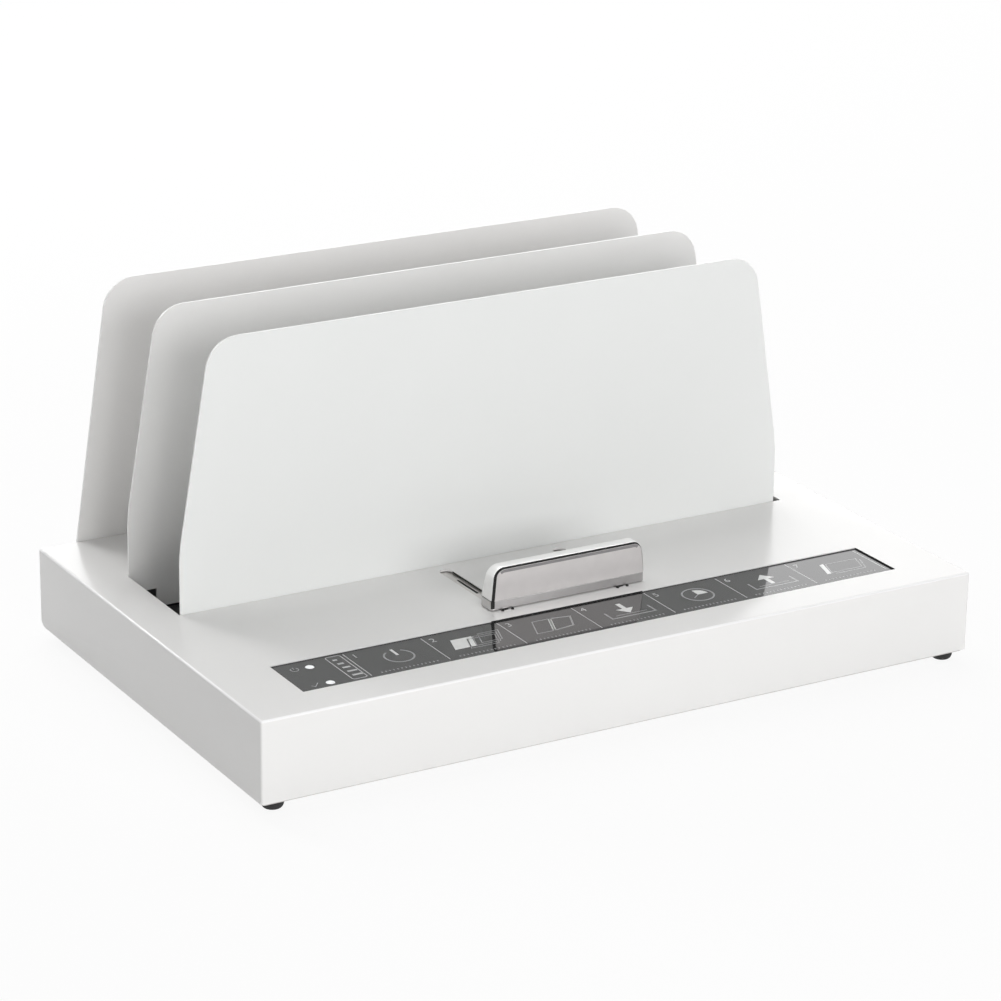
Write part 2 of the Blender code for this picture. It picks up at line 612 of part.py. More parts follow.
def build_rear_divider(white):
    """Divider that closes the cooling bay, fixed on the outside of the rear wall by its skirt."""
    lean = DIVIDER_TOP_INSET / (DIVIDER_RISE - DIVIDER_SHOULDER)
    foot_half = DIVIDER_WIDTH / 2 + lean * DIVIDER_SHOULDER
    left, right = DIVIDER_SHIFT - foot_half, DIVIDER_SHIFT + foot_half
    low = skirt_bottom()
    corners = [(right, low, SKIRT_CORNER_RADIUS), (right, DECK_TOP, 0),
               *divider_top(DIVIDER_TOP - REAR_DIVIDER_DROP),
               (left, DECK_TOP, 0), (left, low, SKIRT_CORNER_RADIUS)]
    plate("rear_divider", white, filleted(corners, FINE_ARC_STEPS), REAR_DIVIDER_FRONT,
          REAR_DIVIDER_FRONT + DIVIDER_SHEET, "Y")


def sensor_window():
    """Opening for the sensor lever through the middle divider and the trough's back, as (x, z) points."""
    reach = LEVER_PIVOT_Y - MIDDLE_DIVIDER_FRONT
    half = LEVER_WIDTH / 2 + SENSOR_WINDOW_GAP
    low = LEVER_PIVOT_Z - reach * math.tan(LEVER_SWING) - LEVER_THICKNESS / 2 - SENSOR_WINDOW_GAP
    return rectangle(-half, half, low, LEVER_PIVOT_Z + LEVER_THICKNESS / 2 + SENSOR_WINDOW_GAP)


def build_heater(black, steel, wool, mica):
    """Heating plate over its element, insulation and trough, between two end plates."""
    left, right = DIVIDER_SHIFT - HEATER_LENGTH / 2, DIVIDER_SHIFT + HEATER_LENGTH / 2
    front, rear = TROUGH_FRONT + TROUGH_SHEET + HEATER_SIDE_GAP, BAY_REAR - HEATER_SIDE_GAP

    bm = bmesh.new()
    profile = filleted([(front, HEATING_PLATE_UNDER, 0), (rear, HEATING_PLATE_UNDER, 0),
                        (rear, HEATING_PLATE_TOP, HEATING_PLATE_EDGE),
                        (front, HEATING_PLATE_TOP, HEATING_PLATE_EDGE)], ARC_STEPS // 2)
    add_plate(bm, profile, left, right, "X")
    make("heating_plate", bm, black)

    sheltered = right - THERMOSTAT_BAY
    block("heater_element", mica, (left + ELEMENT_INSET, sheltered),
          (front + ELEMENT_INSET, rear - ELEMENT_INSET), (ELEMENT_UNDER, HEATING_PLATE_UNDER - SEAT))
    block("insulation_board", wool, (left, sheltered), (front, rear), (INSULATION_UNDER, INSULATION_TOP))

    cap_top = HEATING_PLATE_UNDER - SEAT
    body_top = cap_top - THERMOSTAT_CAP_HEIGHT
    profile = [(0, body_top - THERMOSTAT_HEIGHT), (THERMOSTAT_RADIUS, body_top - THERMOSTAT_HEIGHT),
               (THERMOSTAT_RADIUS, body_top), (THERMOSTAT_CAP_RADIUS, body_top),
               (THERMOSTAT_CAP_RADIUS, cap_top), (0, cap_top)]
    place = (right - THERMOSTAT_BAY / 2, (front + rear) / 2, 0)
    turned("thermostat", black, profile, place, "Z")

    lip = HEATING_PLATE_TOP - TROUGH_LIP_DROP
    back_top = DECK_UNDER - TROUGH_BACK_GAP
    bend = TROUGH_BEND_RADIUS
    inner = bend - TROUGH_SHEET
    lip_rear = TROUGH_FRONT + TROUGH_SHEET
    corners = [(TROUGH_FRONT, lip, 0), (TROUGH_FRONT, TROUGH_UNDER, bend),
               (TROUGH_BACK, TROUGH_UNDER, bend), (TROUGH_BACK, back_top, 0),
               (BAY_REAR, back_top, 0), (BAY_REAR, TROUGH_FLOOR, inner),
               (lip_rear, TROUGH_FLOOR, inner), (lip_rear, lip, 0)]
    trough = plate("heater_trough", steel, filleted(corners), left, right, "X")
    opening = bmesh.new()
    add_plate(opening, sensor_window(), BAY_REAR - CUT_OVERRUN, TROUGH_BACK + CUT_OVERRUN, "Y")
    combine(trough, "trough_window", opening, "DIFFERENCE")

    for name, inner_face in (("left", left - SEAT - END_PLATE_SHEET), ("right", right + SEAT)):
        outline = rectangle(TROUGH_FRONT, TROUGH_BACK, PAN_TOP + SEAT, lip, EDGE_RADIUS)
        plate(f"heater_end_{name}", black, outline, inner_face, inner_face + END_PLATE_SHEET, "X")


def build_sensor(steel, dark):
    """Lever that feels the covers through the middle divider, on a pin in a bracket over its switch."""
    y, z = LEVER_PIVOT_Y, LEVER_PIVOT_Z
    place = Vector((0, y, z))
    half = LEVER_THICKNESS / 2
    side = math.asin(half / LEVER_BARREL_RADIUS)
    tip = MIDDLE_DIVIDER_FRONT - LEVER_TIP_REACH

    def barrel(first, last):
        angles = [first + (last - first) * step / FINE_ARC_STEPS for step in range(FINE_ARC_STEPS + 1)]
        radius = LEVER_BARREL_RADIUS
        return [Vector((y + radius * math.cos(angle), z + radius * math.sin(angle))) for angle in angles]

    outline = [Vector((tip, z - half - LEVER_NOSE_DROP)), Vector((tip + LEVER_NOSE_DROP, z - half)),
               *barrel(math.pi + side, 2 * math.pi - side),
               Vector((y + LEVER_TAIL, z - half)), Vector((y + LEVER_TAIL, z + half)),
               *barrel(side, math.pi - side),
               Vector((tip, z + half)), Vector((tip - half, z))]
    swing = pivot("sensor_lever_pivot", place)
    bore = circle(y, z, SENSOR_PIN_RADIUS + SEAT)
    plate("sensor_lever", steel, outline, -LEVER_WIDTH / 2, LEVER_WIDTH / 2, "X", [bore],
          origin=place, parent=swing)

    inner = LEVER_WIDTH / 2 + SEAT
    outer = inner + SENSOR_BRACKET_SHEET
    front = y - LEVER_BARREL_RADIUS - SENSOR_BRACKET_MARGIN
    switch_front = y + LEVER_BARREL_RADIUS + SEAT
    web = switch_front + SENSOR_SWITCH_LENGTH + SEAT
    rear = web + SENSOR_BRACKET_SHEET
    bend = SENSOR_BRACKET_SHEET
    corners = [(-outer, front, 0), (-outer, rear, bend), (outer, rear, bend), (outer, front, 0),
               (inner, front, 0), (inner, web, 0), (-inner, web, 0), (-inner, front, 0)]
    top = z + LEVER_BARREL_RADIUS + SENSOR_BRACKET_MARGIN
    bracket = plate("sensor_bracket", steel, filleted(corners), PAN_TOP + SEAT, top, "Z")
    bore_cut = bmesh.new()
    add_turned(bore_cut, rod_profile(SENSOR_PIN_RADIUS + SEAT, -outer - CUT_OVERRUN, outer + CUT_OVERRUN),
               place, "X")
    combine(bracket, "sensor_pin_bore", bore_cut, "DIFFERENCE")
    reach = outer + SENSOR_PIN_STICKOUT
    turned("sensor_pin", steel, rod_profile(SENSOR_PIN_RADIUS, -reach, reach), place, "X", origin=place)
    switch_top = z - half - SEAT
    switch_low = switch_top - SENSOR_SWITCH_HEIGHT
    block("sensor_switch", dark, (-LEVER_WIDTH / 2, LEVER_WIDTH / 2),
          (switch_front, switch_front + SENSOR_SWITCH_LENGTH), (switch_low, switch_top))


def build_rails(steel):
    """Two guide rods along the stroke, each held in a folded bracket that stands on the pan."""
    for name, side in (("left", -1), ("right", 1)):
        x = side * ROD_SPACING / 2
        rear_face = REAR_EAR_FRONT + EAR_SHEET
        top = ROD_HEIGHT + ROD_RADIUS + EAR_MARGIN
        low = PAN_TOP + SEAT
        front_inner, rear_inner = FRONT_EAR_FRONT + EAR_SHEET, REAR_EAR_FRONT
        floor = low + EAR_SHEET
        corners = [(FRONT_EAR_FRONT, top, 0), (FRONT_EAR_FRONT, low, EAR_SHEET),
                   (rear_face, low, EAR_SHEET), (rear_face, top, 0),
                   (rear_inner, top, 0), (rear_inner, floor, 0),
                   (front_inner, floor, 0), (front_inner, top, 0)]
        bracket = plate(f"rail_bracket_{name}", steel, filleted(corners), x - RAIL_BRACKET_WIDTH / 2,
                        x + RAIL_BRACKET_WIDTH / 2, "X")
        bore = bmesh.new()
        add_turned(bore, rod_profile(ROD_RADIUS + ROD_CLEARANCE, FRONT_EAR_FRONT - CUT_OVERRUN,
                                     rear_face + CUT_OVERRUN), (x, 0, ROD_HEIGHT), "Y")
        combine(bracket, f"rod_bore_{name}", bore, "DIFFERENCE")
        turned(f"guide_rod_{name}", steel, rod_profile(ROD_RADIUS, ROD_FRONT, ROD_REAR, ROD_CHAMFER),
               (x, 0, ROD_HEIGHT), "Y")


def build_carriage(zinc, white, steel, nylon):
    """Sliding frame: flanged plate, its two bushes, the posts through the deck and the front divider."""
    frame = pivot("carriage_slide", (0, BUSH_FRONT, ROD_HEIGHT))
    bend = CARRIAGE_BEND_RADIUS
    low = CARRIAGE_TOP - CARRIAGE_FLANGE_DROP
    corners = [(CARRIAGE_FRONT, CARRIAGE_TOP, 0), (CARRIAGE_FRONT, CARRIAGE_UNDER, 0),
               (FLANGE_FRONT, CARRIAGE_UNDER, bend - CARRIAGE_SHEET), (FLANGE_FRONT, low, 0),
               (BAY_FRONT, low, 0), (BAY_FRONT, CARRIAGE_TOP, bend)]
    sheet = plate("carriage_plate", zinc, filleted(corners), -CARRIAGE_WIDTH / 2, CARRIAGE_WIDTH / 2, "X",
                  parent=frame)
    slits = bmesh.new()
    for side in (-1, 1):
        x = side * SLOT_SPACING / 2 + SLIT_SHIFT
        low = POST_REAR + SLIT_POST_GAP
        slit = obround(x, low, low + SLIT_LENGTH, SLIT_WIDTH, ARC_STEPS)
        add_plate(slits, slit, CARRIAGE_UNDER - CUT_OVERRUN, CARRIAGE_TOP + CUT_OVERRUN, "Z")
    combine(sheet, "carriage_slits", slits, "DIFFERENCE")

    for name, side in (("left", -1), ("right", 1)):
        x = side * ROD_SPACING / 2
        outline = rectangle(x - BUSH_WIDTH / 2, x + BUSH_WIDTH / 2, ROD_HEIGHT - BUSH_HEIGHT / 2,
                            ROD_HEIGHT + BUSH_HEIGHT / 2, BUSH_CHAMFER, ARC_STEPS // 2)
        bore = circle(x, ROD_HEIGHT, ROD_RADIUS + ROD_CLEARANCE)
        plate(f"slide_bush_{name}", nylon, outline, BUSH_FRONT, BUSH_REAR, "Y", [bore], parent=frame)

    build_bay_divider("front_divider", white, FRONT_DIVIDER_FRONT, parent=frame)
    build_handle(frame, steel)


def build_handle(frame, steel):
    """Chrome handle with a satin face let into its front, on a base plate and two posts."""
    chrome = material("polished_chrome", (0.80, 0.80, 0.80), 0.12, 1.0)
    satin = material("satin_nickel", (0.62, 0.59, 0.59), 0.30, 1.0)
    dark = material("grey_nickel", (0.42, 0.41, 0.41), 0.35, 1.0)
    base_bottom = DECK_TOP + HANDLE_DECK_GAP
    base_top = base_bottom + HANDLE_BASE_HEIGHT
    body_bottom = base_top + SEAT
    body_top = body_bottom + HANDLE_BODY_HEIGHT
    left, right = HANDLE_SHIFT - HANDLE_WIDTH / 2, HANDLE_SHIFT + HANDLE_WIDTH / 2
    rear = HANDLE_FRONT + HANDLE_DEPTH

    for name, side in (("left", -1), ("right", 1)):
        place = (side * SLOT_SPACING / 2, POST_CENTRE, 0)
        rod = rod_profile(POST_RADIUS, CARRIAGE_TOP + SEAT, base_top)
        turned(f"handle_post_{name}", steel, rod, place, "Z", parent=frame)
    holes = [circle(side * SLOT_SPACING / 2, POST_CENTRE, POST_RADIUS + SEAT) for side in (-1, 1)]
    plan = rectangle(left, right, HANDLE_FRONT, rear, HANDLE_BASE_CORNER)
    plate("handle_base", dark, plan, base_bottom, base_top, "Z", holes, parent=frame)

    def outline(inset):
        low, high = body_bottom + inset, body_top - inset
        lean = HANDLE_END_LEAN / HANDLE_BODY_HEIGHT
        foot = HANDLE_WIDTH / 2 - inset * math.hypot(1, lean) - lean * inset
        crown = foot - lean * (high - low)
        radius = HANDLE_CORNER_RADIUS - inset
        return filleted([(HANDLE_SHIFT - foot, low, 0), (HANDLE_SHIFT + foot, low, 0),
                         (HANDLE_SHIFT + crown, high, radius), (HANDLE_SHIFT - crown, high, radius)],
                        FINE_ARC_STEPS)

    def leaning(shape, front, back, front_lean, back_lean):
        bm = bmesh.new()
        add_plate(bm, shape, front, back, "Y")
        middle = (front + back) / 2
        for vertex in bm.verts:
            lean = front_lean if vertex.co.y < middle else back_lean
            vertex.co.y += lean * (vertex.co.z - body_bottom) / HANDLE_BODY_HEIGHT
        return bm

    grip = leaning(outline(0), HANDLE_FRONT, rear, HANDLE_FRONT_LEAN, -HANDLE_REAR_LEAN)
    body = make("handle_body", grip, chrome, parent=frame, smooth=True)
    floor = HANDLE_FRONT + FACE_RECESS + FACE_THICKNESS
    pocket = leaning(outline(HANDLE_RIM), HANDLE_FRONT - CUT_OVERRUN, floor + SEAT, HANDLE_FRONT_LEAN,
                     HANDLE_FRONT_LEAN)
    combine(body, "handle_pocket", pocket, "DIFFERENCE")
    face = leaning(outline(HANDLE_RIM + FACE_GAP), HANDLE_FRONT + FACE_RECESS, floor, HANDLE_FRONT_LEAN,
                   HANDLE_FRONT_LEAN)
    make("handle_face", face, satin, parent=frame, smooth=True)


def build_panel(film, dark, board_green, lens):
    """Glossy strip let into the deck on a carrier, with two indicators on a small board below."""
    left, right = PANEL_SHIFT - PANEL_WIDTH / 2, PANEL_SHIFT + PANEL_WIDTH / 2
    carrier_top = DECK_UNDER - SEAT
    carrier_under = carrier_top - CARRIER_THICKNESS
    overlay_under = carrier_top + SEAT
    overlay_top = overlay_under + OVERLAY_THICKNESS
    led_x = left + LED_SIDE_INSET
    led_y = (PANEL_FRONT + PANEL_REAR) / 2 + LED_SHIFT
    places = {"ready": (led_x, led_y - LED_SPACING / 2), "power": (led_x, led_y + LED_SPACING / 2)}
    holes = [circle(*place, LED_RADIUS + LED_HOLE_GAP) for place in places.values()]
    plate("panel_overlay", film, rectangle(left, right, PANEL_FRONT, PANEL_REAR, PANEL_CORNER_RADIUS),
          overlay_under, overlay_top, "Z", holes)

    carrier = plate("panel_carrier", dark, rectangle(left - CARRIER_LIP, right + CARRIER_LIP,
                                                     PANEL_FRONT - CARRIER_LIP, PANEL_REAR + CARRIER_LIP),
                    carrier_under, carrier_top, "Z", holes)
    bosses = bmesh.new()
    board_half = LED_SPACING / 2 + INDICATOR_BOARD_MARGIN
    for shift in (-1, 1):
        place = (led_x + shift * (INDICATOR_BOARD_WIDTH / 2 - BOSS_INSET), led_y, carrier_under)
        add_turned(bosses, rod_profile(BOSS_RADIUS, -BOSS_LENGTH, CARRIER_THICKNESS / 2), place, "Z")
    combine(carrier, "carrier_bosses", bosses, "UNION")

    board_top = carrier_under - BOSS_LENGTH - SEAT
    board_left = led_x - INDICATOR_BOARD_WIDTH / 2
    block("indicator_board", board_green, (board_left, board_left + INDICATOR_BOARD_WIDTH),
          (led_y - board_half, led_y + board_half), (board_top - INDICATOR_BOARD_THICKNESS, board_top))
    for name, (x, y) in places.items():
        low, high = board_top + SEAT, overlay_top + LED_PROUD
        turned(f"indicator_{name}", lens, rod_profile(LED_RADIUS, low, high), (x, y, 0), "Z")


def build_electronics(board_green, dark, steel, blue):
    """Control board on four spacers, with its transformer, relay, buzzer and terminal block."""
    front = HOUSING_FRONT + COVER_SHEET + SEAT + PAN_SHEET + BOARD_FRONT_GAP
    rear = front + BOARD_DEPTH
    left, right = BOARD_SHIFT - BOARD_WIDTH / 2, BOARD_SHIFT + BOARD_WIDTH / 2
    spacer_low = PAN_TOP + SEAT
    board_low = spacer_low + SPACER_HEIGHT + SEAT
    board_top = board_low + BOARD_THICKNESS
    part_low = board_top + SEAT
    middle = (front + rear) / 2
    block("control_board", board_green, (left, right), (front, rear), (board_low, board_top),
          BOARD_CORNER_RADIUS)
    for row, y in (("front", front + SPACER_INSET), ("rear", rear - SPACER_INSET)):
        for column, x in (("left", left + SPACER_INSET), ("right", right - SPACER_INSET)):
            hexagon = circle(x, y, SPACER_RADIUS, SPACER_SIDES)
            plate(f"board_spacer_{row}_{column}", steel, hexagon, spacer_low, spacer_low + SPACER_HEIGHT,
                  "Z")

    core_left = left + TRANSFORMER_INSET
    core_right = core_left + TRANSFORMER_WIDTH
    core_middle = (core_left + core_right) / 2
    bobbin = TRANSFORMER_BOBBIN_WIDTH / 2
    near, far = middle - TRANSFORMER_DEPTH / 2, middle + TRANSFORMER_DEPTH / 2
    reach = TRANSFORMER_BOBBIN_REACH
    outline = [(core_left, near), (core_middle - bobbin, near), (core_middle - bobbin, near - reach),
               (core_middle + bobbin, near - reach), (core_middle + bobbin, near), (core_right, near),
               (core_right, far), (core_middle + bobbin, far), (core_middle + bobbin, far + reach),
               (core_middle - bobbin, far + reach), (core_middle - bobbin, far), (core_left, far)]
    plate("transformer", dark, outline, part_low, part_low + TRANSFORMER_HEIGHT, "Z")

    relay_left = core_right + BOARD_PART_GAP
    block("relay", blue, (relay_left, relay_left + RELAY_WIDTH),
          (middle - RELAY_DEPTH / 2, middle + RELAY_DEPTH / 2), (part_low, part_low + RELAY_HEIGHT),
          EDGE_RADIUS / 2)

    buzzer_x = relay_left + RELAY_WIDTH + BOARD_PART_GAP + BUZZER_RADIUS
    top = part_low + BUZZER_HEIGHT
    profile = [(0, part_low), (BUZZER_RADIUS, part_low), (BUZZER_RADIUS, top), (BUZZER_PORT_RADIUS, top),
               (BUZZER_PORT_RADIUS, top - BUZZER_PORT_DEPTH), (0, top - BUZZER_PORT_DEPTH)]
    turned("buzzer", dark, profile, (buzzer_x, middle, 0), "Z")

    terminal_left = buzzer_x + BUZZER_RADIUS + BOARD_PART_GAP / 2
    near, far = middle - TERMINAL_DEPTH / 2, middle + TERMINAL_DEPTH / 2
    step = part_low + TERMINAL_HEIGHT - TERMINAL_STEP
    outline = [(near, part_low), (far, part_low), (far, part_low + TERMINAL_HEIGHT),
               (near + TERMINAL_STEP, part_low + TERMINAL_HEIGHT), (near, step)]
    plate("terminal_block", blue, outline, terminal_left, terminal_left + TERMINAL_WIDTH, "X")


def build_inlet(dark):
    """Appliance inlet with three pins in a chamfered socket, its flange on the outside of the rear wall."""
    x, z = INLET_SHIFT, INLET_HEIGHT
    flange_low, flange_high = HOUSING_REAR + SEAT, HOUSING_REAR + REAR_REACH
    half_width, half_height = INLET_BODY_WIDTH / 2, INLET_BODY_HEIGHT / 2
    inlet = plate("mains_inlet", dark, rectangle(x - INLET_FLANGE_WIDTH / 2, x + INLET_FLANGE_WIDTH / 2,
                                                 z - INLET_FLANGE_HEIGHT / 2, z + INLET_FLANGE_HEIGHT / 2,
                                                 INLET_FLANGE_CORNER), flange_low, flange_high, "Y")
    body = bmesh.new()
    add_plate(body, rectangle(x - half_width, x + half_width, z - half_height, z + half_height),
              HOUSING_REAR - INLET_BODY_DEPTH, (flange_low + flange_high) / 2, "Y")
    combine(inlet, "inlet_body", body, "UNION")

    def socket(y_low, y_high, name, holes):
        wide, tall = half_width - INLET_WALL, half_height - INLET_WALL
        corners = [(x - wide, z + tall, 0), (x - wide, z - tall + INLET_CHAMFER, 0),
                   (x - wide + INLET_CHAMFER, z - tall, 0), (x + wide - INLET_CHAMFER, z - tall, 0),
                   (x + wide, z - tall + INLET_CHAMFER, 0), (x + wide, z + tall, 0)]
        cut = bmesh.new()
        add_plate(cut, filleted(corners), y_low, y_high, "Y", holes)
        combine(inlet, name, cut, "DIFFERENCE")

    pin_x, pin_z = INLET_PIN_WIDTH / 2, INLET_PIN_HEIGHT / 2
    places = ((-INLET_PIN_SPACING / 2, 0), (0, INLET_EARTH_LIFT / 2), (INLET_PIN_SPACING / 2, 0))
    pins = [rectangle(x + shift - pin_x, x + shift + pin_x, z + lift - pin_z, z + lift + pin_z)
            for shift, lift in places]
    tips = flange_high - INLET_PIN_SETBACK
    socket(flange_high - INLET_CAVITY_DEPTH, tips, "inlet_pins", pins)
    socket(tips - SEAT, flange_high + CUT_OVERRUN, "inlet_mouth", [])


def build_power_switch(dark, black):
    """Power switch: a bezelled body through the rear wall and the rocker that turns in its window."""
    x, z = SWITCH_SHIFT, INLET_HEIGHT
    half_width, half_height = switch_body_span()
    flange_low, flange_high = HOUSING_REAR + SEAT, HOUSING_REAR + REAR_REACH
    grow = SWITCH_BODY_WALL + SWITCH_BEZEL
    body = plate("power_switch_body", dark, rectangle(x - half_width - grow, x + half_width + grow,
                                                      z - half_height - grow, z + half_height + grow,
                                                      SWITCH_FLANGE_CORNER), flange_low, flange_high, "Y")
    shell = bmesh.new()
    wall = SWITCH_BODY_WALL
    add_plate(shell, rectangle(x - half_width - wall, x + half_width + wall, z - half_height - wall,
                               z + half_height + wall), HOUSING_REAR - SWITCH_BODY_DEPTH,
              (flange_low + flange_high) / 2, "Y")
    combine(body, "switch_shell", shell, "UNION")

    pivot_y = HOUSING_REAR - ROCKER_PIVOT_DEPTH
    sweep = ROCKER_LENGTH / 2 * math.sin(ROCKER_TILT) + ROCKER_UNDER + ROCKER_PIN_RADIUS
    well = bmesh.new()
    add_plate(well, rectangle(x - half_width, x + half_width, z - half_height, z + half_height),
              pivot_y - sweep - SEAT, flange_high + CUT_OVERRUN, "Y")
    combine(body, "switch_well", well, "DIFFERENCE")
    place = Vector((x, pivot_y, z))
    bores = bmesh.new()
    reach = ROCKER_WIDTH / 2 + ROCKER_PIN_LENGTH
    add_turned(bores, rod_profile(ROCKER_PIN_RADIUS + SEAT, -reach - SEAT, reach + SEAT), place, "X")
    combine(body, "rocker_bores", bores, "DIFFERENCE")

    half = ROCKER_LENGTH / 2
    flat = [(-ROCKER_UNDER, -half), (-ROCKER_UNDER, half), (ROCKER_CREST, half),
            (ROCKER_CREST - ROCKER_DIP, 0), (ROCKER_CREST, -half)]
    lean = math.cos(ROCKER_TILT), math.sin(ROCKER_TILT)
    outline = [(pivot_y + y * lean[0] - up * lean[1], z + y * lean[1] + up * lean[0]) for y, up in flat]
    swing = pivot("power_rocker_pivot", place)
    rocker = plate("power_rocker", black, outline, x - ROCKER_WIDTH / 2, x + ROCKER_WIDTH / 2, "X",
                   origin=place, parent=swing)
    pins = bmesh.new()
    add_turned(pins, rod_profile(ROCKER_PIN_RADIUS, -reach, reach), place, "X")
    combine(rocker, "rocker_pins", pins, "UNION")


def main():
    """Build every piece of the machine."""
    for item in list(bpy.data.objects):
        bpy.data.objects.remove(item)
    white = material("white_powder_coat", (0.86, 0.86, 0.85), 0.45)
    zinc = material("zinc_plate", (0.62, 0.61, 0.60), 0.40, 1.0)
    steel = material("bright_steel", (0.70, 0.70, 0.70), 0.30, 1.0)
    rubber = material("black_rubber", (0.03, 0.03, 0.03), 0.85)
    black = material("black_coating", (0.02, 0.02, 0.02), 0.55)
    dark = material("black_plastic", (0.04, 0.04, 0.04), 0.45)
    film = material("grey_gloss_film", (0.10, 0.10, 0.10), 0.15)
    wool = material("insulation_board", (0.75, 0.72, 0.65), 0.95)
    mica = material("mica_sheet", (0.55, 0.45, 0.32), 0.60)
    nylon = material("white_nylon", (0.82, 0.81, 0.76), 0.50)
    board_green = material("board_laminate", (0.03, 0.20, 0.08), 0.40)
    blue = material("blue_plastic", (0.05, 0.15, 0.45), 0.40)
    lens = material("white_lens", (0.95, 0.95, 0.95), 0.20)

    build_cover(white)
    build_pan(zinc)
    build_feet(rubber)
    build_bay_divider("middle_divider", white, MIDDLE_DIVIDER_FRONT, [sensor_window()])
    build_rear_divider(white)
    build_heater(black, steel, wool, mica)
    build_sensor(steel, dark)
    build_rails(steel)
    build_carriage(zinc, white, steel, nylon)
    build_panel(film, dark, board_green, lens)
    build_electronics(board_green, dark, steel, blue)
    build_inlet(dark)
    build_power_switch(dark, black)


if __name__ == "__main__":
    main()
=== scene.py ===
"""Finishes and fine shapes of the thermal binding machine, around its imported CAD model."""
import logging
import math
from dataclasses import dataclass
from enum import Enum
from functools import cache
from itertools import product
from typing import Callable, Iterable, Sequence

import bmesh
import bpy
from mathutils import Matrix, Vector


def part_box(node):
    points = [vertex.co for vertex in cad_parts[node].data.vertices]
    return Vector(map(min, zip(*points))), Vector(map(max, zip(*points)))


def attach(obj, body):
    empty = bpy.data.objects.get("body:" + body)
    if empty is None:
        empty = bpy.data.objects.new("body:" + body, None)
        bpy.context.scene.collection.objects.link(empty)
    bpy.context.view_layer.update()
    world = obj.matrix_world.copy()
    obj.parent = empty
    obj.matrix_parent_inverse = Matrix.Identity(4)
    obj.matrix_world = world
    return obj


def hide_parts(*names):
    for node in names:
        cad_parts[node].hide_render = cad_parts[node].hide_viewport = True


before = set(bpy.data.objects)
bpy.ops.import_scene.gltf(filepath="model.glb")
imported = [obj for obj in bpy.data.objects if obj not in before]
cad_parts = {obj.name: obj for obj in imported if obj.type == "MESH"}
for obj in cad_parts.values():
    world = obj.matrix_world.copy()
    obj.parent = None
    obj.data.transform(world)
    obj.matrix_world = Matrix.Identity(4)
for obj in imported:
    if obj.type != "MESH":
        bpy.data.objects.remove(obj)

LOG = logging.getLogger("binding_machine")
Point = tuple[float, float]
Colour = tuple[float, float, float]
Mesh = bmesh.types.BMesh
Item = bpy.types.Object
Socket = bpy.types.NodeSocket
MM = 0.001
WELD = 1e-6
SLACK = 0.01 * MM
FLAT = 0.4
SHARP = 35.0
BENT = 50.0
# name of the face attribute that holds each face's share of painted highlight along folds and edges
HIGHLIGHT_SHARE = "lean"
WHITE = (1.0, 1.0, 1.0)
EVEN = (1.0, 1.0, 1.0)
BRUSHED = 0.03
FIBRES = ((0.25, 1.0, 1.0), (1.0, 0.2, 1.0))
CRYSTAL_SHARE = 0.6
RIPPLE_SHARE = 0.8
TRACK_EDGE = 0.16
PATCH_SHARE = 0.7
CONTRAST = 1.6
DARKER = 0.3


class Axis(Enum):
    """Direction that an outline is drawn out along, with the axes that its own two numbers run along."""

    X = (1, 2, 0)
    Y = (0, 2, 1)
    Z = (0, 1, 2)


class Grain(Enum):
    """Small relief of a surface."""

    PEEL = "even ripple of sprayed powder"
    BRUSHED_X = "fine lines along X"
    BRUSHED_Y = "fine lines along Y"
    SPANGLE = "soft crystals of zinc plating"
    MOULDED = "fine texture of a moulding tool"
    FIBRE = "pressed fibres"
    TRACKS = "copper tracks under a mask"


@dataclass(frozen=True)
class Signal:
    """A number that an output in a node tree carries. Arithmetic on it adds Math nodes."""

    tree: "Tree"
    socket: Socket

    def _math(self, operation: str, first: "Signal | float", second: "Signal | float") -> "Signal":
        """Result of one Math node on two numbers."""
        node = self.tree.add("ShaderNodeMath", {0: first, 1: second}, operation=operation)
        return Signal(self.tree, node.outputs[0])

    def __add__(self, other: "Signal | float") -> "Signal":
        """Sum."""
        return self._math("ADD", self, other)

    __radd__ = __add__

    def __sub__(self, other: "Signal | float") -> "Signal":
        """Difference."""
        return self._math("SUBTRACT", self, other)

    def __mul__(self, other: "Signal | float") -> "Signal":
        """Product."""
        return self._math("MULTIPLY", self, other)

    def above(self, level: float) -> "Signal":
        """1 where the number is above a level, and 0 elsewhere."""
        return self._math("GREATER_THAN", self, level)

    def either(self, other: "Signal | float") -> "Signal":
        """The larger of two numbers."""
        return self._math("MAXIMUM", self, other)


class Nodes:
    """Any tree of nodes that the script builds."""

    def __init__(self, group: bpy.types.NodeTree) -> None:
        """Args:
            group: the tree in Blender.
        """
        self.group = group

    def add(self, kind: str, sockets: dict[str | int, object] | None = None,
            **settings: object) -> bpy.types.Node:
        """Adds any node.

        Args:
            kind: the node's type.
            sockets: a value or a link for each named or numbered input.
            settings: the node's properties, which are set first.

        Returns:
            The node.
        """
        node = self.group.nodes.new(kind)
        for key, value in settings.items():
            setattr(node, key, value)
        for key, value in (sockets or {}).items():
            if isinstance(value, Signal):
                value = value.socket
            if isinstance(value, Socket):
                self.group.links.new(value, node.inputs[key])
            else:
                node.inputs[key].default_value = value
        return node


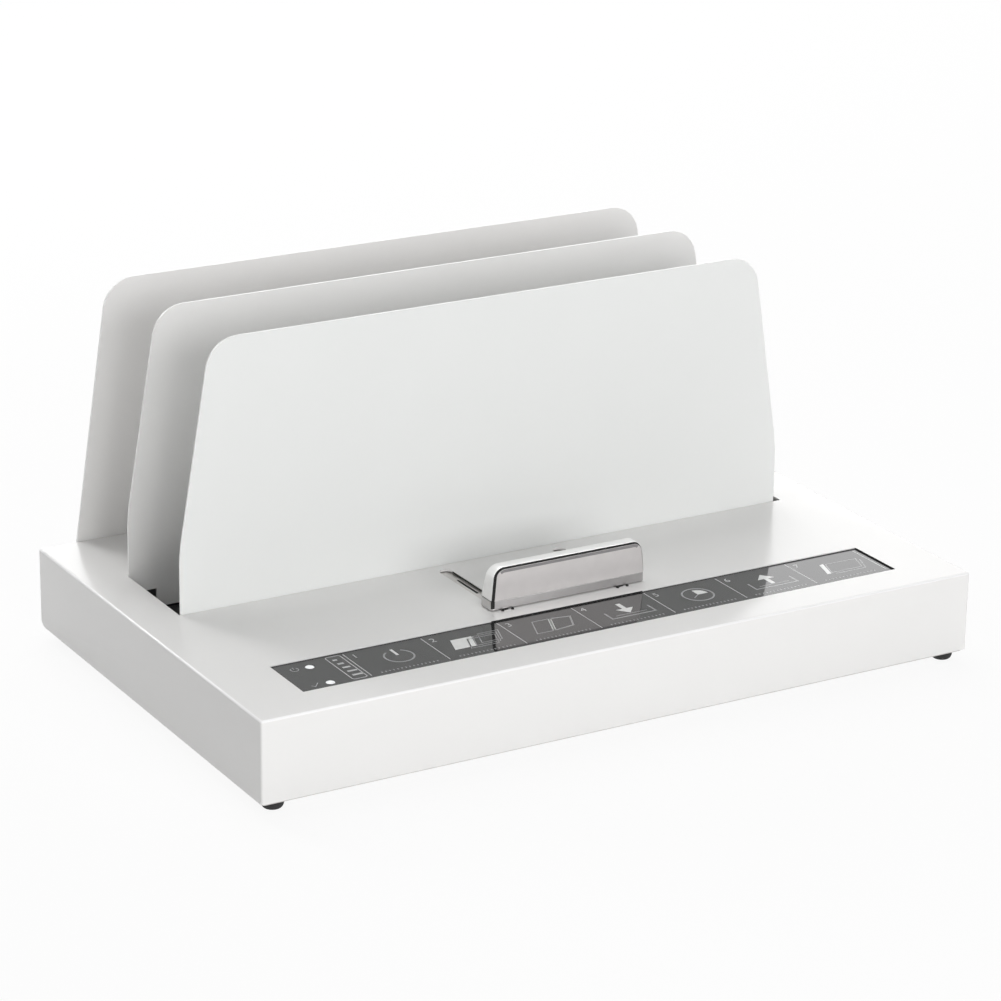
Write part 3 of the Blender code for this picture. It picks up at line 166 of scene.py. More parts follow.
class Tree(Nodes):
    """Node tree of one material or world."""

    def __init__(self, owner: bpy.types.Material | bpy.types.World) -> None:
        """Args:
            owner: the material or world, whose present nodes are removed.
        """
        owner.use_nodes = True
        super().__init__(owner.node_tree)
        self.owner = owner
        self.group.nodes.clear()

    def place(self, stretch: Colour = EVEN) -> Socket:
        """Object coordinates in metres, squeezed or stretched along each axis."""
        given = self.add("ShaderNodeTexCoord").outputs["Object"]
        return self.add("ShaderNodeMapping", {"Vector": given, "Scale": stretch}).outputs["Vector"]

    def noise(self, size: float, detail: float = 2.0, stretch: Colour = EVEN) -> Signal:
        """Noise of about 0 to 1.

        Args:
            size: size of a grain, in metres.
            detail: number of finer layers.
            stretch: how much finer the pattern is along each axis.

        Returns:
            The noise.
        """
        fed = {"Vector": self.place(stretch), "Scale": 1 / size, "Detail": detail}
        return Signal(self, self.add("ShaderNodeTexNoise", fed).outputs[0])

    def spots(self, size: float, measure: str = "F1") -> Signal:
        """Distance pattern of cells with a size in metres."""
        fed = {"Vector": self.place(), "Scale": 1 / size}
        return Signal(self, self.add("ShaderNodeTexVoronoi", fed, feature=measure).outputs["Distance"])

    def blend(self, share: Signal, first: Colour | Socket, second: Colour) -> Socket:
        """Colour between two.

        Args:
            share: how much of the second colour there is, from 0 to 1.
            first: a colour or an output.
            second: the other colour.

        Returns:
            The output with the colour.
        """
        start = first if isinstance(first, Socket) else (*first, 1.0)
        node = self.add("ShaderNodeMix", {0: share, 6: start, 7: (*second, 1.0)}, data_type="RGBA")
        return node.outputs[2]

    def lean(self) -> Signal:
        """Share of painted highlight, as the piece's own attribute says: 1 halfway round a fold."""
        return Signal(self, self.add("ShaderNodeAttribute", attribute_name=HIGHLIGHT_SHARE).outputs["Fac"])


@dataclass(frozen=True)
class Finish:
    """What a surface is made of, and how it varies from place to place. Its lengths are in millimetres."""

    name: str
    colour: Colour
    roughness: float
    slot: str
    metallic: float = 0.0
    grain: Grain = Grain.MOULDED
    grain_size: float = 1.0
    grain_depth: float = 0.01
    tint: float = 0.03
    patch: float = 30.0
    uneven: float = 0.10
    glow: float = 0.0
    ior: float = 1.5
    # share of painted highlight: the colour goes towards white along folds and edges
    fold_highlight: float = 0.0

    def relief(self, tree: Tree) -> Signal:
        """Height pattern of the grain.

        Args:
            tree: the node tree that the nodes are added to.

        Returns:
            The height, about 0 to 1.
        """
        size = self.grain_size * MM
        brushed = {Grain.BRUSHED_X: (BRUSHED, 1.0, 1.0), Grain.BRUSHED_Y: (1.0, BRUSHED, 1.0)}
        if self.grain in brushed:
            return tree.noise(size, 3.0, brushed[self.grain])
        if self.grain is Grain.SPANGLE:
            return tree.spots(size) * CRYSTAL_SHARE + tree.noise(size / 5) * (1 - CRYSTAL_SHARE)
        if self.grain is Grain.FIBRE:
            return tree.noise(size, 6.0, FIBRES[0]) + tree.noise(size, 6.0, FIBRES[1])
        if self.grain is Grain.TRACKS:
            return tree.spots(size, "DISTANCE_TO_EDGE").above(TRACK_EDGE)
        if self.grain is Grain.PEEL:
            return tree.noise(size, 1.0) * RIPPLE_SHARE + tree.noise(size / 4, 1.0) * (1 - RIPPLE_SHARE)
        return tree.noise(size, 4.0)

    def build(self) -> bpy.types.Material:
        """Makes the material.

        Returns:
            The node-based material.
        """
        tree = Tree(bpy.data.materials.new(self.name))
        relief = self.relief(tree)
        patches = tree.noise(self.patch * MM, 3.0)
        share = (patches * PATCH_SHARE + relief * (1 - PATCH_SHARE)) * CONTRAST - DARKER
        low = tuple(value * (1 - self.tint) for value in self.colour)
        high = tuple(min(1.0, value * (1 + self.tint)) for value in self.colour)
        colour = tree.blend(share, low, high)
        # painted highlight: whiter where the face attribute marks a fold or an edge
        if self.fold_highlight:
            colour = tree.blend(tree.lean() * self.fold_highlight, colour, WHITE)
        bump = tree.add("ShaderNodeBump",
                        {"Strength": 1.0, "Distance": self.grain_depth * MM, "Height": relief})
        rough = self.roughness * (1 - self.uneven) + patches * (2 * self.uneven * self.roughness)
        sockets: dict[str | int, object] = {
            "Base Color": colour, "Roughness": rough, "Metallic": self.metallic, "IOR": self.ior,
            "Normal": bump.outputs["Normal"]}
        if self.glow:
            sockets.update({"Emission Color": colour, "Emission Strength": self.glow})
        surface = tree.add("ShaderNodeBsdfPrincipled", sockets)
        tree.add("ShaderNodeOutputMaterial", {"Surface": surface.outputs[0]})
        tree.owner.diffuse_color = (*self.colour, 1.0)
        return tree.owner


@cache
def material(finish: Finish) -> bpy.types.Material:
    """Material of a finish, made once."""
    return finish.build()


def paint(name: str, colour: Colour, roughness: float, patch: float) -> Finish:
    """White sprayed powder, with painted highlight along folds and edges."""
    return Finish(name, colour, roughness, "white_powder_coat", 0.0, Grain.PEEL, 1.4, 0.004, 0.012, patch,
                  fold_highlight=0.9)


def ink(name: str, colour: Colour, tint: float) -> Finish:
    """Printing under the strip's gloss."""
    return Finish(name, colour, 0.12, "grey_gloss_film", 0.0, Grain.MOULDED, 0.3, 0.001, tint, 4)


def moulded(name: str, colour: Colour, roughness: float, slot: str, grain_size: float, grain_depth: float,
            tint: float) -> Finish:
    """Plastic, rubber or black coating."""
    return Finish(name, colour, roughness, slot, 0.0, Grain.MOULDED, grain_size, grain_depth, tint)


@dataclass(frozen=True)
class Finishes:
    """Every finish on the machine. The numbers stand in the order of the fields of Finish."""

    cover: Finish = paint("white_cover_paint", (0.86, 0.855, 0.845), 0.22, 60)
    plate: Finish = paint("front_sheet_paint", (0.835, 0.846, 0.836), 0.34, 80)
    # a little darker than the cover's paint, partly as painted shade on the middle and rear sheets
    sheet: Finish = paint("rear_sheet_paint", (0.845, 0.839, 0.829), 0.34, 80)
    zinc: Finish = Finish("zinc_plating", (0.60, 0.585, 0.57), 0.38, "zinc_plate", 1.0, Grain.SPANGLE,
                          6, 0.01, 0.10, 14)
    steel: Finish = Finish("drawn_steel", (0.66, 0.66, 0.655), 0.30, "bright_steel", 1.0, Grain.BRUSHED_X,
                           0.3, 0.004, 0.08, 10)
    ground: Finish = Finish("ground_steel", (0.72, 0.72, 0.72), 0.18, "bright_steel", 1.0, Grain.BRUSHED_Y,
                            0.2, 0.002, 0.05, 8)
    chrome: Finish = Finish("polished_chrome_plate", (0.9, 0.895, 0.89), 0.32, "polished_chrome", 0.9,
                            Grain.MOULDED, 0.6, 0.0008, 0.03, 5, 0.35)
    satin: Finish = Finish("satin_nickel_face", (0.70, 0.675, 0.67), 0.44, "satin_nickel", 0.85,
                           Grain.BRUSHED_X, 0.12, 0.002, 0.04, 6)
    # darker than the cap, partly as painted contact shade under the grip
    foot: Finish = Finish("grey_nickel_foot_and_shade", (0.42, 0.41, 0.41), 0.42, "grey_nickel", 1.0, Grain.BRUSHED_X,
                          0.15, 0.002, 0.08, 8)
    cap: Finish = Finish("pale_nickel_cap", (0.56, 0.55, 0.545), 0.38, "grey_nickel", 0.95, Grain.MOULDED,
                         0.5, 0.001, 0.06, 4)
    # painted shade and reflection on the top edge of the handle's face
    shade_band: Finish = Finish("painted_edge_shade", (0.30, 0.29, 0.295), 0.44, "grey_nickel", 0.9, Grain.BRUSHED_X,
                            0.15, 0.002, 0.08, 8)
    rubber: Finish = moulded("black_rubber", (0.018, 0.018, 0.019), 0.78, "black_rubber", 0.5, 0.02, 0.25)
    coating: Finish = moulded("heat_proof_black", (0.016, 0.016, 0.017), 0.5, "black_coating", 0.4, 0.012,
                              0.3)
    plastic: Finish = moulded("black_moulding", (0.022, 0.022, 0.024), 0.42, "black_plastic", 0.25, 0.012,
                              0.2)
    # near-black for the pieces that are painted shade: gaps, slot walls, dots and the strip's joint
    shade_backing: Finish = moulded("black_shade_filler", (0.006, 0.006, 0.006), 0.8, "black_rubber", 0.4, 0.01, 0.25)
    nylon: Finish = moulded("natural_nylon", (0.80, 0.79, 0.73), 0.42, "white_nylon", 0.5, 0.01, 0.04)
    blue: Finish = moulded("blue_moulding", (0.025, 0.10, 0.36), 0.38, "blue_plastic", 0.25, 0.01, 0.10)
    mark: Finish = moulded("white_mark", (0.78, 0.78, 0.78), 0.5, "black_plastic", 0.3, 0.004, 0.04)
    film: Finish = Finish("smoked_strip", (0.030, 0.0305, 0.031), 0.05, "grey_gloss_film", grain_size=2,
                          grain_depth=0.0002, tint=0.06, patch=20, ior=1.45)
    print: Finish = ink("grey_print", (0.30, 0.305, 0.31), 0.08)
    rule: Finish = ink("pale_print", (0.52, 0.525, 0.53), 0.06)
    page: Finish = ink("white_print", (0.80, 0.81, 0.80), 0.05)
    lens: Finish = Finish("white_lens", (0.90, 0.91, 0.92), 0.22, "white_lens", grain_size=0.6,
                          grain_depth=0.002, glow=0.25)
    wool: Finish = Finish("pressed_wool_board", (0.72, 0.69, 0.62), 0.95, "insulation_board", 0.0,
                          Grain.FIBRE, 2, 0.15, 0.12, 6)
    mica: Finish = Finish("mica_laminate", (0.50, 0.41, 0.29), 0.45, "mica_sheet", 0.0, Grain.FIBRE,
                          3, 0.02, 0.18, 7)
    board: Finish = Finish("green_board", (0.020, 0.155, 0.065), 0.32, "board_laminate", 0.0, Grain.TRACKS,
                           3.2, 0.03, 0.35, 12)
    iron: Finish = Finish("varnished_laminations", (0.055, 0.052, 0.05), 0.48, "transformer_iron", 0.6,
                          Grain.BRUSHED_X, 0.3, 0.02, 0.3)
    copper: Finish = Finish("enamelled_wire", (0.62, 0.27, 0.10), 0.30, "transformer_iron", 1.0,
                            Grain.BRUSHED_Y, 0.4, 0.03, 0.2)


FINISHES = Finishes()


class Box:
    """Where a CAD node stands at rest."""

    def __init__(self, node: str) -> None:
        """Args:
            node: name of the node.
        """
        self.low, self.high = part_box(node)
        self.x, self.y, self.z = ((first + last) / 2 for first, last in zip(self.low, self.high))
        self.radius = (self.high.x - self.low.x) / 2


class Shape:
    """Outlines and solids in bmesh."""

    @staticmethod
    def filleted(corners: Sequence[tuple[float, float, float]], steps: int) -> list[Point]:
        """Outline whose corners are rounded.

        Args:
            corners: two places and a radius for each corner.
            steps: faces of each rounding.

        Returns:
            The outline's points.
        """
        points: list[Point] = []
        for index, (u, v, radius) in enumerate(corners):
            here = Vector((u, v))
            if not radius:
                points.append((u, v))
                continue
            before = Vector(corners[index - 1][:2]) - here
            after = Vector(corners[(index + 1) % len(corners)][:2]) - here
            before.normalize()
            after.normalize()
            half = before.angle(after) / 2
            centre = here + (before + after).normalized() * (radius / math.sin(half))
            start = here + before * (radius / math.tan(half)) - centre
            end = here + after * (radius / math.tan(half)) - centre
            turn = start.angle_signed(end)
            for step in range(steps + 1):
                angle = -turn * step / steps
                points.append((centre.x + start.x * math.cos(angle) - start.y * math.sin(angle),
                               centre.y + start.x * math.sin(angle) + start.y * math.cos(angle)))
        return points

    @staticmethod
    def rectangle(left: float, right: float, low: float, high: float, radius: float = 0.0,
                  steps: int = 6) -> list[Point]:
        """Rectangle with rounded corners."""
        corners = [(left, low, radius), (right, low, radius), (right, high, radius), (left, high, radius)]
        return Shape.filleted(corners, steps)

    @staticmethod
    def circle(radius: float, sides: int = 48) -> list[Point]:
        """Regular outline round the origin."""
        turns = (2 * math.pi * index / sides for index in range(sides))
        return [(radius * math.cos(turn), radius * math.sin(turn)) for turn in turns]

    @staticmethod
    def arc(radius: float, first: float, last: float, steps: int = 36) -> list[Point]:
        """Part of a circle round the origin, with angles in degrees from the top."""
        turns = [math.radians(first + (last - first) * step / steps) for step in range(steps + 1)]
        return [(radius * math.sin(turn), radius * math.cos(turn)) for turn in turns]

    @staticmethod
    def at(u: float, v: float, w: float, axis: Axis) -> Vector:
        """Point in space.

        Args:
            u: first number of an outline's point.
            v: second number of it.
            w: height along the axis.
            axis: direction that the outline is drawn out along.

        Returns:
            The place.
        """
        place = [0.0, 0.0, 0.0]
        for index, value in zip(axis.value, (u, v, w)):
            place[index] = value
        return Vector(place)

    @staticmethod
    def plate(outline: Sequence[Point], low: float, high: float, axis: Axis = Axis.Z,
              holes: Iterable[Sequence[Point]] = (), into: Mesh | None = None) -> Mesh:
        """Solid with one outline from a low to a high face, with holes through it.

        Args:
            outline: points of the outline.
            low: height of its lower face.
            high: height of its upper face.
            axis: direction that the outline is drawn out along.
            holes: outlines of the holes.
            into: the mesh that it is added to, or none for a new one.

        Returns:
            The mesh.
        """
        bm = bmesh.new() if into is None else into
        edges = []
        for ring in (outline, *holes):
            verts = [bm.verts.new(Shape.at(u, v, low, axis)) for u, v in ring]
            edges += [bm.edges.new((verts[index - 1], vert)) for index, vert in enumerate(verts)]
        filled = bmesh.ops.triangle_fill(bm, use_beauty=True, use_dissolve=True, edges=edges)
        faces = [item for item in filled["geom"] if isinstance(item, bmesh.types.BMFace)]
        grown = bmesh.ops.extrude_face_region(bm, geom=faces, use_keep_orig=True)
        moved = [item for item in grown["geom"] if isinstance(item, bmesh.types.BMVert)]
        bmesh.ops.translate(bm, verts=moved, vec=Shape.at(0, 0, high - low, axis))
        bmesh.ops.recalc_face_normals(bm, faces=bm.faces)
        return bm

    @staticmethod
    def lathe(profile: Sequence[Point], centre: Sequence[float], axis: Axis = Axis.Z, sides: int = 48,
              into: Mesh | None = None) -> Mesh:
        """Turned solid.

        Args:
            profile: radius and height of each corner, whose ends lie on the axis.
            centre: where the axis passes.
            axis: the axis that it is turned round.
            sides: faces round it.
            into: the mesh that it is added to, or none for a new one.

        Returns:
            The mesh.
        """
        bm = bmesh.new() if into is None else into
        rings: list[list[bmesh.types.BMVert]] = []
        for radius, height in profile:
            around = Shape.circle(radius, sides) if radius else [(0.0, 0.0)]
            rings.append([bm.verts.new(Vector(centre) + Shape.at(u, v, height, axis)) for u, v in around])
        for ring, following in zip(rings, rings[1:]):
            for index in range(sides):
                corners = [ring[index % len(ring)], ring[(index + 1) % len(ring)],
                           following[(index + 1) % len(following)], following[index % len(following)]]
                distinct = list(dict.fromkeys(corners))
                if len(distinct) > 2:
                    bm.faces.new(distinct)
        bmesh.ops.recalc_face_normals(bm, faces=bm.faces)
        return bm

    @staticmethod
    def ribbon(bm: Mesh, points: Sequence[Point], width: float, low: float, high: float, closed: bool = False,
               axis: Axis = Axis.Z) -> None:
        """Adds a flat printed line along points, with mitred corners.

        Args:
            bm: the mesh that it is added to.
            points: places along the line.
            width: width of the line.
            low: height of its lower face.
            high: height of its upper face.
            closed: whether the last point joins the first.
            axis: direction that the outline is drawn out along.
        """
        count = len(points)
        sharpest = 0.35
        rings: list[list[bmesh.types.BMVert]] = []
        for index in range(count):
            here = Vector(points[index])
            before = here - Vector(points[index - 1]) if closed or index else None
            after = Vector(points[(index + 1) % count]) - here if closed or index < count - 1 else None
            parts = [part.normalized() for part in (before, after) if part is not None]
            along = sum(parts, Vector((0.0, 0.0))).normalized()
            across = Vector((-along.y, along.x))
            lean = max(sharpest, abs(across.dot(Vector((-parts[0].y, parts[0].x)))))
            pair = (here + across * (width / 2 / lean), here - across * (width / 2 / lean))
            rings.append([bm.verts.new(Shape.at(*side, height, axis))
                          for side in pair for height in (low, high)])
        for index in range(count if closed else count - 1):
            a, b = rings[index], rings[(index + 1) % count]
            for first, second in ((0, 2), (2, 3), (3, 1), (1, 0)):
                bm.faces.new((a[first], a[second], b[second], b[first]))
        if not closed:
            for cap in (rings[0], rings[-1]):
                bm.faces.new((cap[0], cap[1], cap[3], cap[2]))
        bmesh.ops.recalc_face_normals(bm, faces=bm.faces)


class Growth(Nodes):
    """Geometry node tree with named inputs. It runs once and leaves a plain mesh."""

    def __init__(self, name: str) -> None:
        """Args:
            name: name of the piece that it makes.
        """
        super().__init__(bpy.data.node_groups.new(name + "_tree", "GeometryNodeTree"))
        self.name = name
        for way in ("OUTPUT", "INPUT"):
            self.group.interface.new_socket(name="Geometry", in_out=way, socket_type="NodeSocketGeometry")
        self.entry = self.group.nodes.new("NodeGroupInput")
        self.exit = self.group.nodes.new("NodeGroupOutput")
        self.values: dict[str, object] = {}

    def size(self, name: str, value: float | int | Sequence[float]) -> Socket:
        """Adds a named input with its value.

        Args:
            name: name of the input.
            value: its value.

        Returns:
            The socket inside the tree that carries it.
        """
        kinds = {int: "NodeSocketInt", float: "NodeSocketFloat"}
        kind = kinds.get(type(value), "NodeSocketVector")
        item = self.group.interface.new_socket(name=name, in_out="INPUT", socket_type=kind)
        self.values[item.identifier] = value
        return self.entry.outputs[name]

    def harvest(self, last: Socket, finish: Finish, places: Iterable[Sequence[float]] = ()) -> Item:
        """Ends the tree in real, finished faces, and runs it.

        Args:
            last: the tree's last geometry.
            finish: what the faces are finished with.
            places: the points that the tree's geometry input holds.

        Returns:
            An object with a plain mesh.
        """
        carrier = bpy.data.meshes.new(self.name + "_points")
        carrier.from_pydata([tuple(place) for place in places], [], [])
        real = self.add("GeometryNodeRealizeInstances", {0: last})
        dressed = self.add("GeometryNodeSetMaterial",
                           {"Geometry": real.outputs[0], "Material": material(finish)})
        self.group.links.new(dressed.outputs[0], self.exit.inputs[0])
        host = bpy.data.objects.new(self.name + "_host", carrier)
        bpy.context.scene.collection.objects.link(host)
        modifier = host.modifiers.new("growth", "NODES")
        modifier.node_group = self.group
        for identifier, value in self.values.items():
            modifier[identifier] = value
        graph = bpy.context.evaluated_depsgraph_get()
        mesh = bpy.data.meshes.new_from_object(host.evaluated_get(graph))
        bpy.data.objects.remove(host)
        item = bpy.data.objects.new(self.name, mesh)
        bpy.context.scene.collection.objects.link(item)
        return item


class Workshop:
    """Turns meshes into pieces that ride on the model's bodies."""

    def __init__(self) -> None:
        """Starts with nothing ready."""
        self.ready: list[str] = []

    def hand_over(self) -> list[str]:
        """Names each piece and CAD node that was finished since the last time."""
        names, self.ready = self.ready, []
        return names

    @staticmethod
    def plain(name: str, bm: Mesh) -> Item:
        """Object in the scene with a mesh, and nothing else.

        Args:
            name: name of the piece.
            bm: its mesh, which is used up.

        Returns:
            The object.
        """
        mesh = bpy.data.meshes.new(name)
        bm.to_mesh(mesh)
        bm.free()
        item = bpy.data.objects.new(name, mesh)
        bpy.context.scene.collection.objects.link(item)
        return item

    @staticmethod
    def settle(item: Item) -> None:
        """Turns the modifiers' result into the object's own mesh.

        Args:
            item: the object to change.
        """
        graph = bpy.context.evaluated_depsgraph_get()
        mesh = bpy.data.meshes.new_from_object(item.evaluated_get(graph))
        item.modifiers.clear()
        item.data = mesh

    def cut(self, item: Item, bm: Mesh) -> None:
        """Cuts a solid out of an object.

        Args:
            item: the object to change.
            bm: the solid, which is used up.
        """
        tool = self.plain("tool", bm)
        modifier = item.modifiers.new("cut", "BOOLEAN")
        modifier.operation = "DIFFERENCE"
        modifier.solver = "EXACT"
        modifier.object = tool
        self.settle(item)
        bpy.data.objects.remove(tool)

    def soften(self, item: Item, width: float, segments: int = 2, limit: float = SHARP) -> None:
        """Rounds the sharp edges, so that they catch the light.

        Args:
            item: the object to change.
            width: width of the rounding, or 0 for smooth shading alone.
            segments: faces across a softened edge.
            limit: least angle of a sharp edge, in degrees.
        """
        if width:
            modifier = item.modifiers.new("edges", "BEVEL")
            modifier.width = width
            modifier.segments = segments
            modifier.limit_method = "ANGLE"
            modifier.angle_limit = math.radians(limit)
            modifier.harden_normals = True
            modifier.use_clamp_overlap = True
        item.data.shade_smooth()
        item.data.set_sharp_from_angle(angle=math.radians(limit))
        self.settle(item)

    def finish(self, item: Item, finish: Finish, body: str = "housing", nodes: Sequence[str] = ()) -> None:
        """Gives an object its material, its body, and the CAD nodes that it stands for.

        Args:
            item: the object to change.
            finish: what it is finished with.
            body: body that it rides on.
            nodes: CAD nodes that it stands for.
        """
        item.data.materials.clear()
        item.data.materials.append(material(finish))
        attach(item, body)
        if nodes:
            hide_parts(*nodes)
        self.ready.append(f"{item.name} on {body}")

    @staticmethod
    def note_highlight(item: Item, rule: Callable[[Vector], float]) -> None:
        """Writes on each face its share of painted highlight, so that the paint can be whiter along the
        folds.

        Args:
            item: the object to change.
            rule: gives the amount for a face's normal, and what is above 1 counts as 1.
        """
        lean = item.data.attributes.new(HIGHLIGHT_SHARE, "FLOAT", "FACE")
        lean.data.foreach_set("value", [min(1.0, rule(face.normal)) for face in item.data.polygons])

    def piece(self, name: str, bm: Mesh, finish: Finish, edge: float = 0.0, segments: int = 2,
              limit: float = SHARP, body: str = "housing", nodes: Sequence[str] = ()) -> Item:
        """Object with softened edges, finished and on its body.

        Args:
            name: name of the piece.
            bm: its mesh, which is used up.
            finish: what it is finished with.
            edge: width of the softened edges.
            segments: faces across a softened edge.
            limit: least angle of a sharp edge, in degrees.
            body: body that it rides on.
            nodes: CAD nodes that it stands for.

        Returns:
            The piece.
        """
        item = self.plain(name, bm)
        self.soften(item, edge, segments, limit)
        self.finish(item, finish, body, nodes)
        return item

    @staticmethod
    def copy_of(node: str) -> Mesh:
        """Copy of a CAD node's faces, welded, with flat faces joined up.

        Args:
            node: name of the CAD node.

        Returns:
            The mesh.
        """
        bm = bmesh.new()
        bm.from_mesh(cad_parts[node].data)
        bmesh.ops.remove_doubles(bm, verts=bm.verts, dist=WELD)
        bmesh.ops.dissolve_limit(bm, angle_limit=math.radians(FLAT), verts=bm.verts, edges=bm.edges)
        return bm

    def refine(self, node: str, name: str, finish: Finish, edge: float, segments: int = 2,
               limit: float = SHARP, body: str = "housing") -> Item:
        """Piece with a CAD node's shape and softened edges, in that node's place."""
        return self.piece(name, self.copy_of(node), finish, edge, segments, limit, body, [node])

    def dress(self, finish: Finish, node: str) -> None:
        """Gives a CAD node that stays its finish.

        Args:
            finish: what it is finished with.
            node: name of the CAD node.
        """
        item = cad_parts[node]
        item.data.materials.clear()
        item.data.materials.append(material(finish))
        self.ready.append(f"{node} in {finish.name}")

    def row(self, name: str, count: int, start: Sequence[float], step: Sequence[float],
            block: Sequence[float], finish: Finish, nodes: Sequence[str] = ()) -> None:
        """Blocks of one size, grown on evenly spaced points.

        Args:
            name: name of the piece.
            count: how many blocks there are.
            start: the middle of the first one.
            step: from one to the next.
            block: the size of each.
            finish: what they are finished with.
            nodes: CAD nodes that they stand for.
        """
        growth = Growth(name)
        line = growth.add("GeometryNodeMeshLine", {"Count": growth.size("Count", count),
                                                   "Start Location": growth.size("Start", start),
                                                   "Offset": growth.size("Pitch", step)}, mode="OFFSET")
        cube = growth.add("GeometryNodeMeshCube", {"Size": growth.size("Block", block)})
        made = growth.add("GeometryNodeInstanceOnPoints",
                          {"Points": line.outputs[0], "Instance": cube.outputs["Mesh"]})
        self.finish(growth.harvest(made.outputs[0], finish), finish, nodes=nodes)


@dataclass
class ScrewSet:
    """Pan-head screws, all facing one way."""

    radius: float = 2.8 * MM
    height: float = 1.7 * MM
    recess: float = 0.9 * MM
    arm: float = 0.42 * MM
    reach: float = 0.55
    rim: float = 0.35
    fullness: float = 0.6
    steps: int = 6
    sides: int = 20
    seed: int = 7

    def head(self, shop: Workshop) -> Item:
        """One head with a cross recess, its seat at the origin, facing up.

        Args:
            shop: where the head is made.

        Returns:
            The head, in the scene.
        """
        crown = [(0.0, 0.0), (self.radius, 0.0), (self.radius, self.height * self.rim)]
        for step in range(1, self.steps):
            turn = math.pi / 2 * step / self.steps
            crown.append((self.radius * math.cos(turn) ** self.fullness,
                          self.height * (self.rim + (1 - self.rim) * math.sin(turn))))
        item = shop.plain("screw_head_pattern",
                          Shape.lathe([*crown, (0.0, self.height)], (0, 0, 0), sides=self.sides))
        arm, reach = self.arm, self.radius * self.reach
        quarter, cross = [(arm, arm), (arm, reach), (-arm, reach)], []
        for _ in range(4):
            cross += quarter
            quarter = [(-v, u) for u, v in quarter]
        shop.cut(item, Shape.plate(cross, self.height - self.recess, self.height + MM))
        shop.soften(item, 0.0)
        return item

    def fix(self, shop: Workshop, name: str, places: Sequence[Sequence[float]], facing: Vector) -> None:
        """Makes one piece of screws at places on a flat face of the housing.

        Args:
            shop: where the piece is made.
            name: the piece's name.
            places: where the heads sit.
            facing: the way that they point.
        """
        head = self.head(shop)
        growth = Growth(name)
        turn = growth.size("Facing", tuple(facing.to_track_quat("Z", "Y").to_euler()))
        seed = growth.size("Seed", self.seed)
        pattern = growth.add("GeometryNodeObjectInfo", {"Object": head})
        heads = growth.add("GeometryNodeInstanceOnPoints",
                           {"Points": growth.entry.outputs["Geometry"],
                            "Instance": pattern.outputs["Geometry"], "Rotation": turn})
        spin = growth.add("FunctionNodeRandomValue", {0: (0, 0, 0), 1: (0, 0, math.pi), "Seed": seed},
                          data_type="FLOAT_VECTOR")
        turned = growth.add("GeometryNodeRotateInstances",
                            {"Instances": heads.outputs[0], "Rotation": spin.outputs[0], "Local Space": True})
        item = growth.harvest(turned.outputs[0], FINISHES.steel, places)
        bpy.data.objects.remove(head)
        shop.finish(item, FINISHES.steel)


@dataclass
class SubAssembly:
    """Part of the machine that is made in one go."""

    shop: Workshop


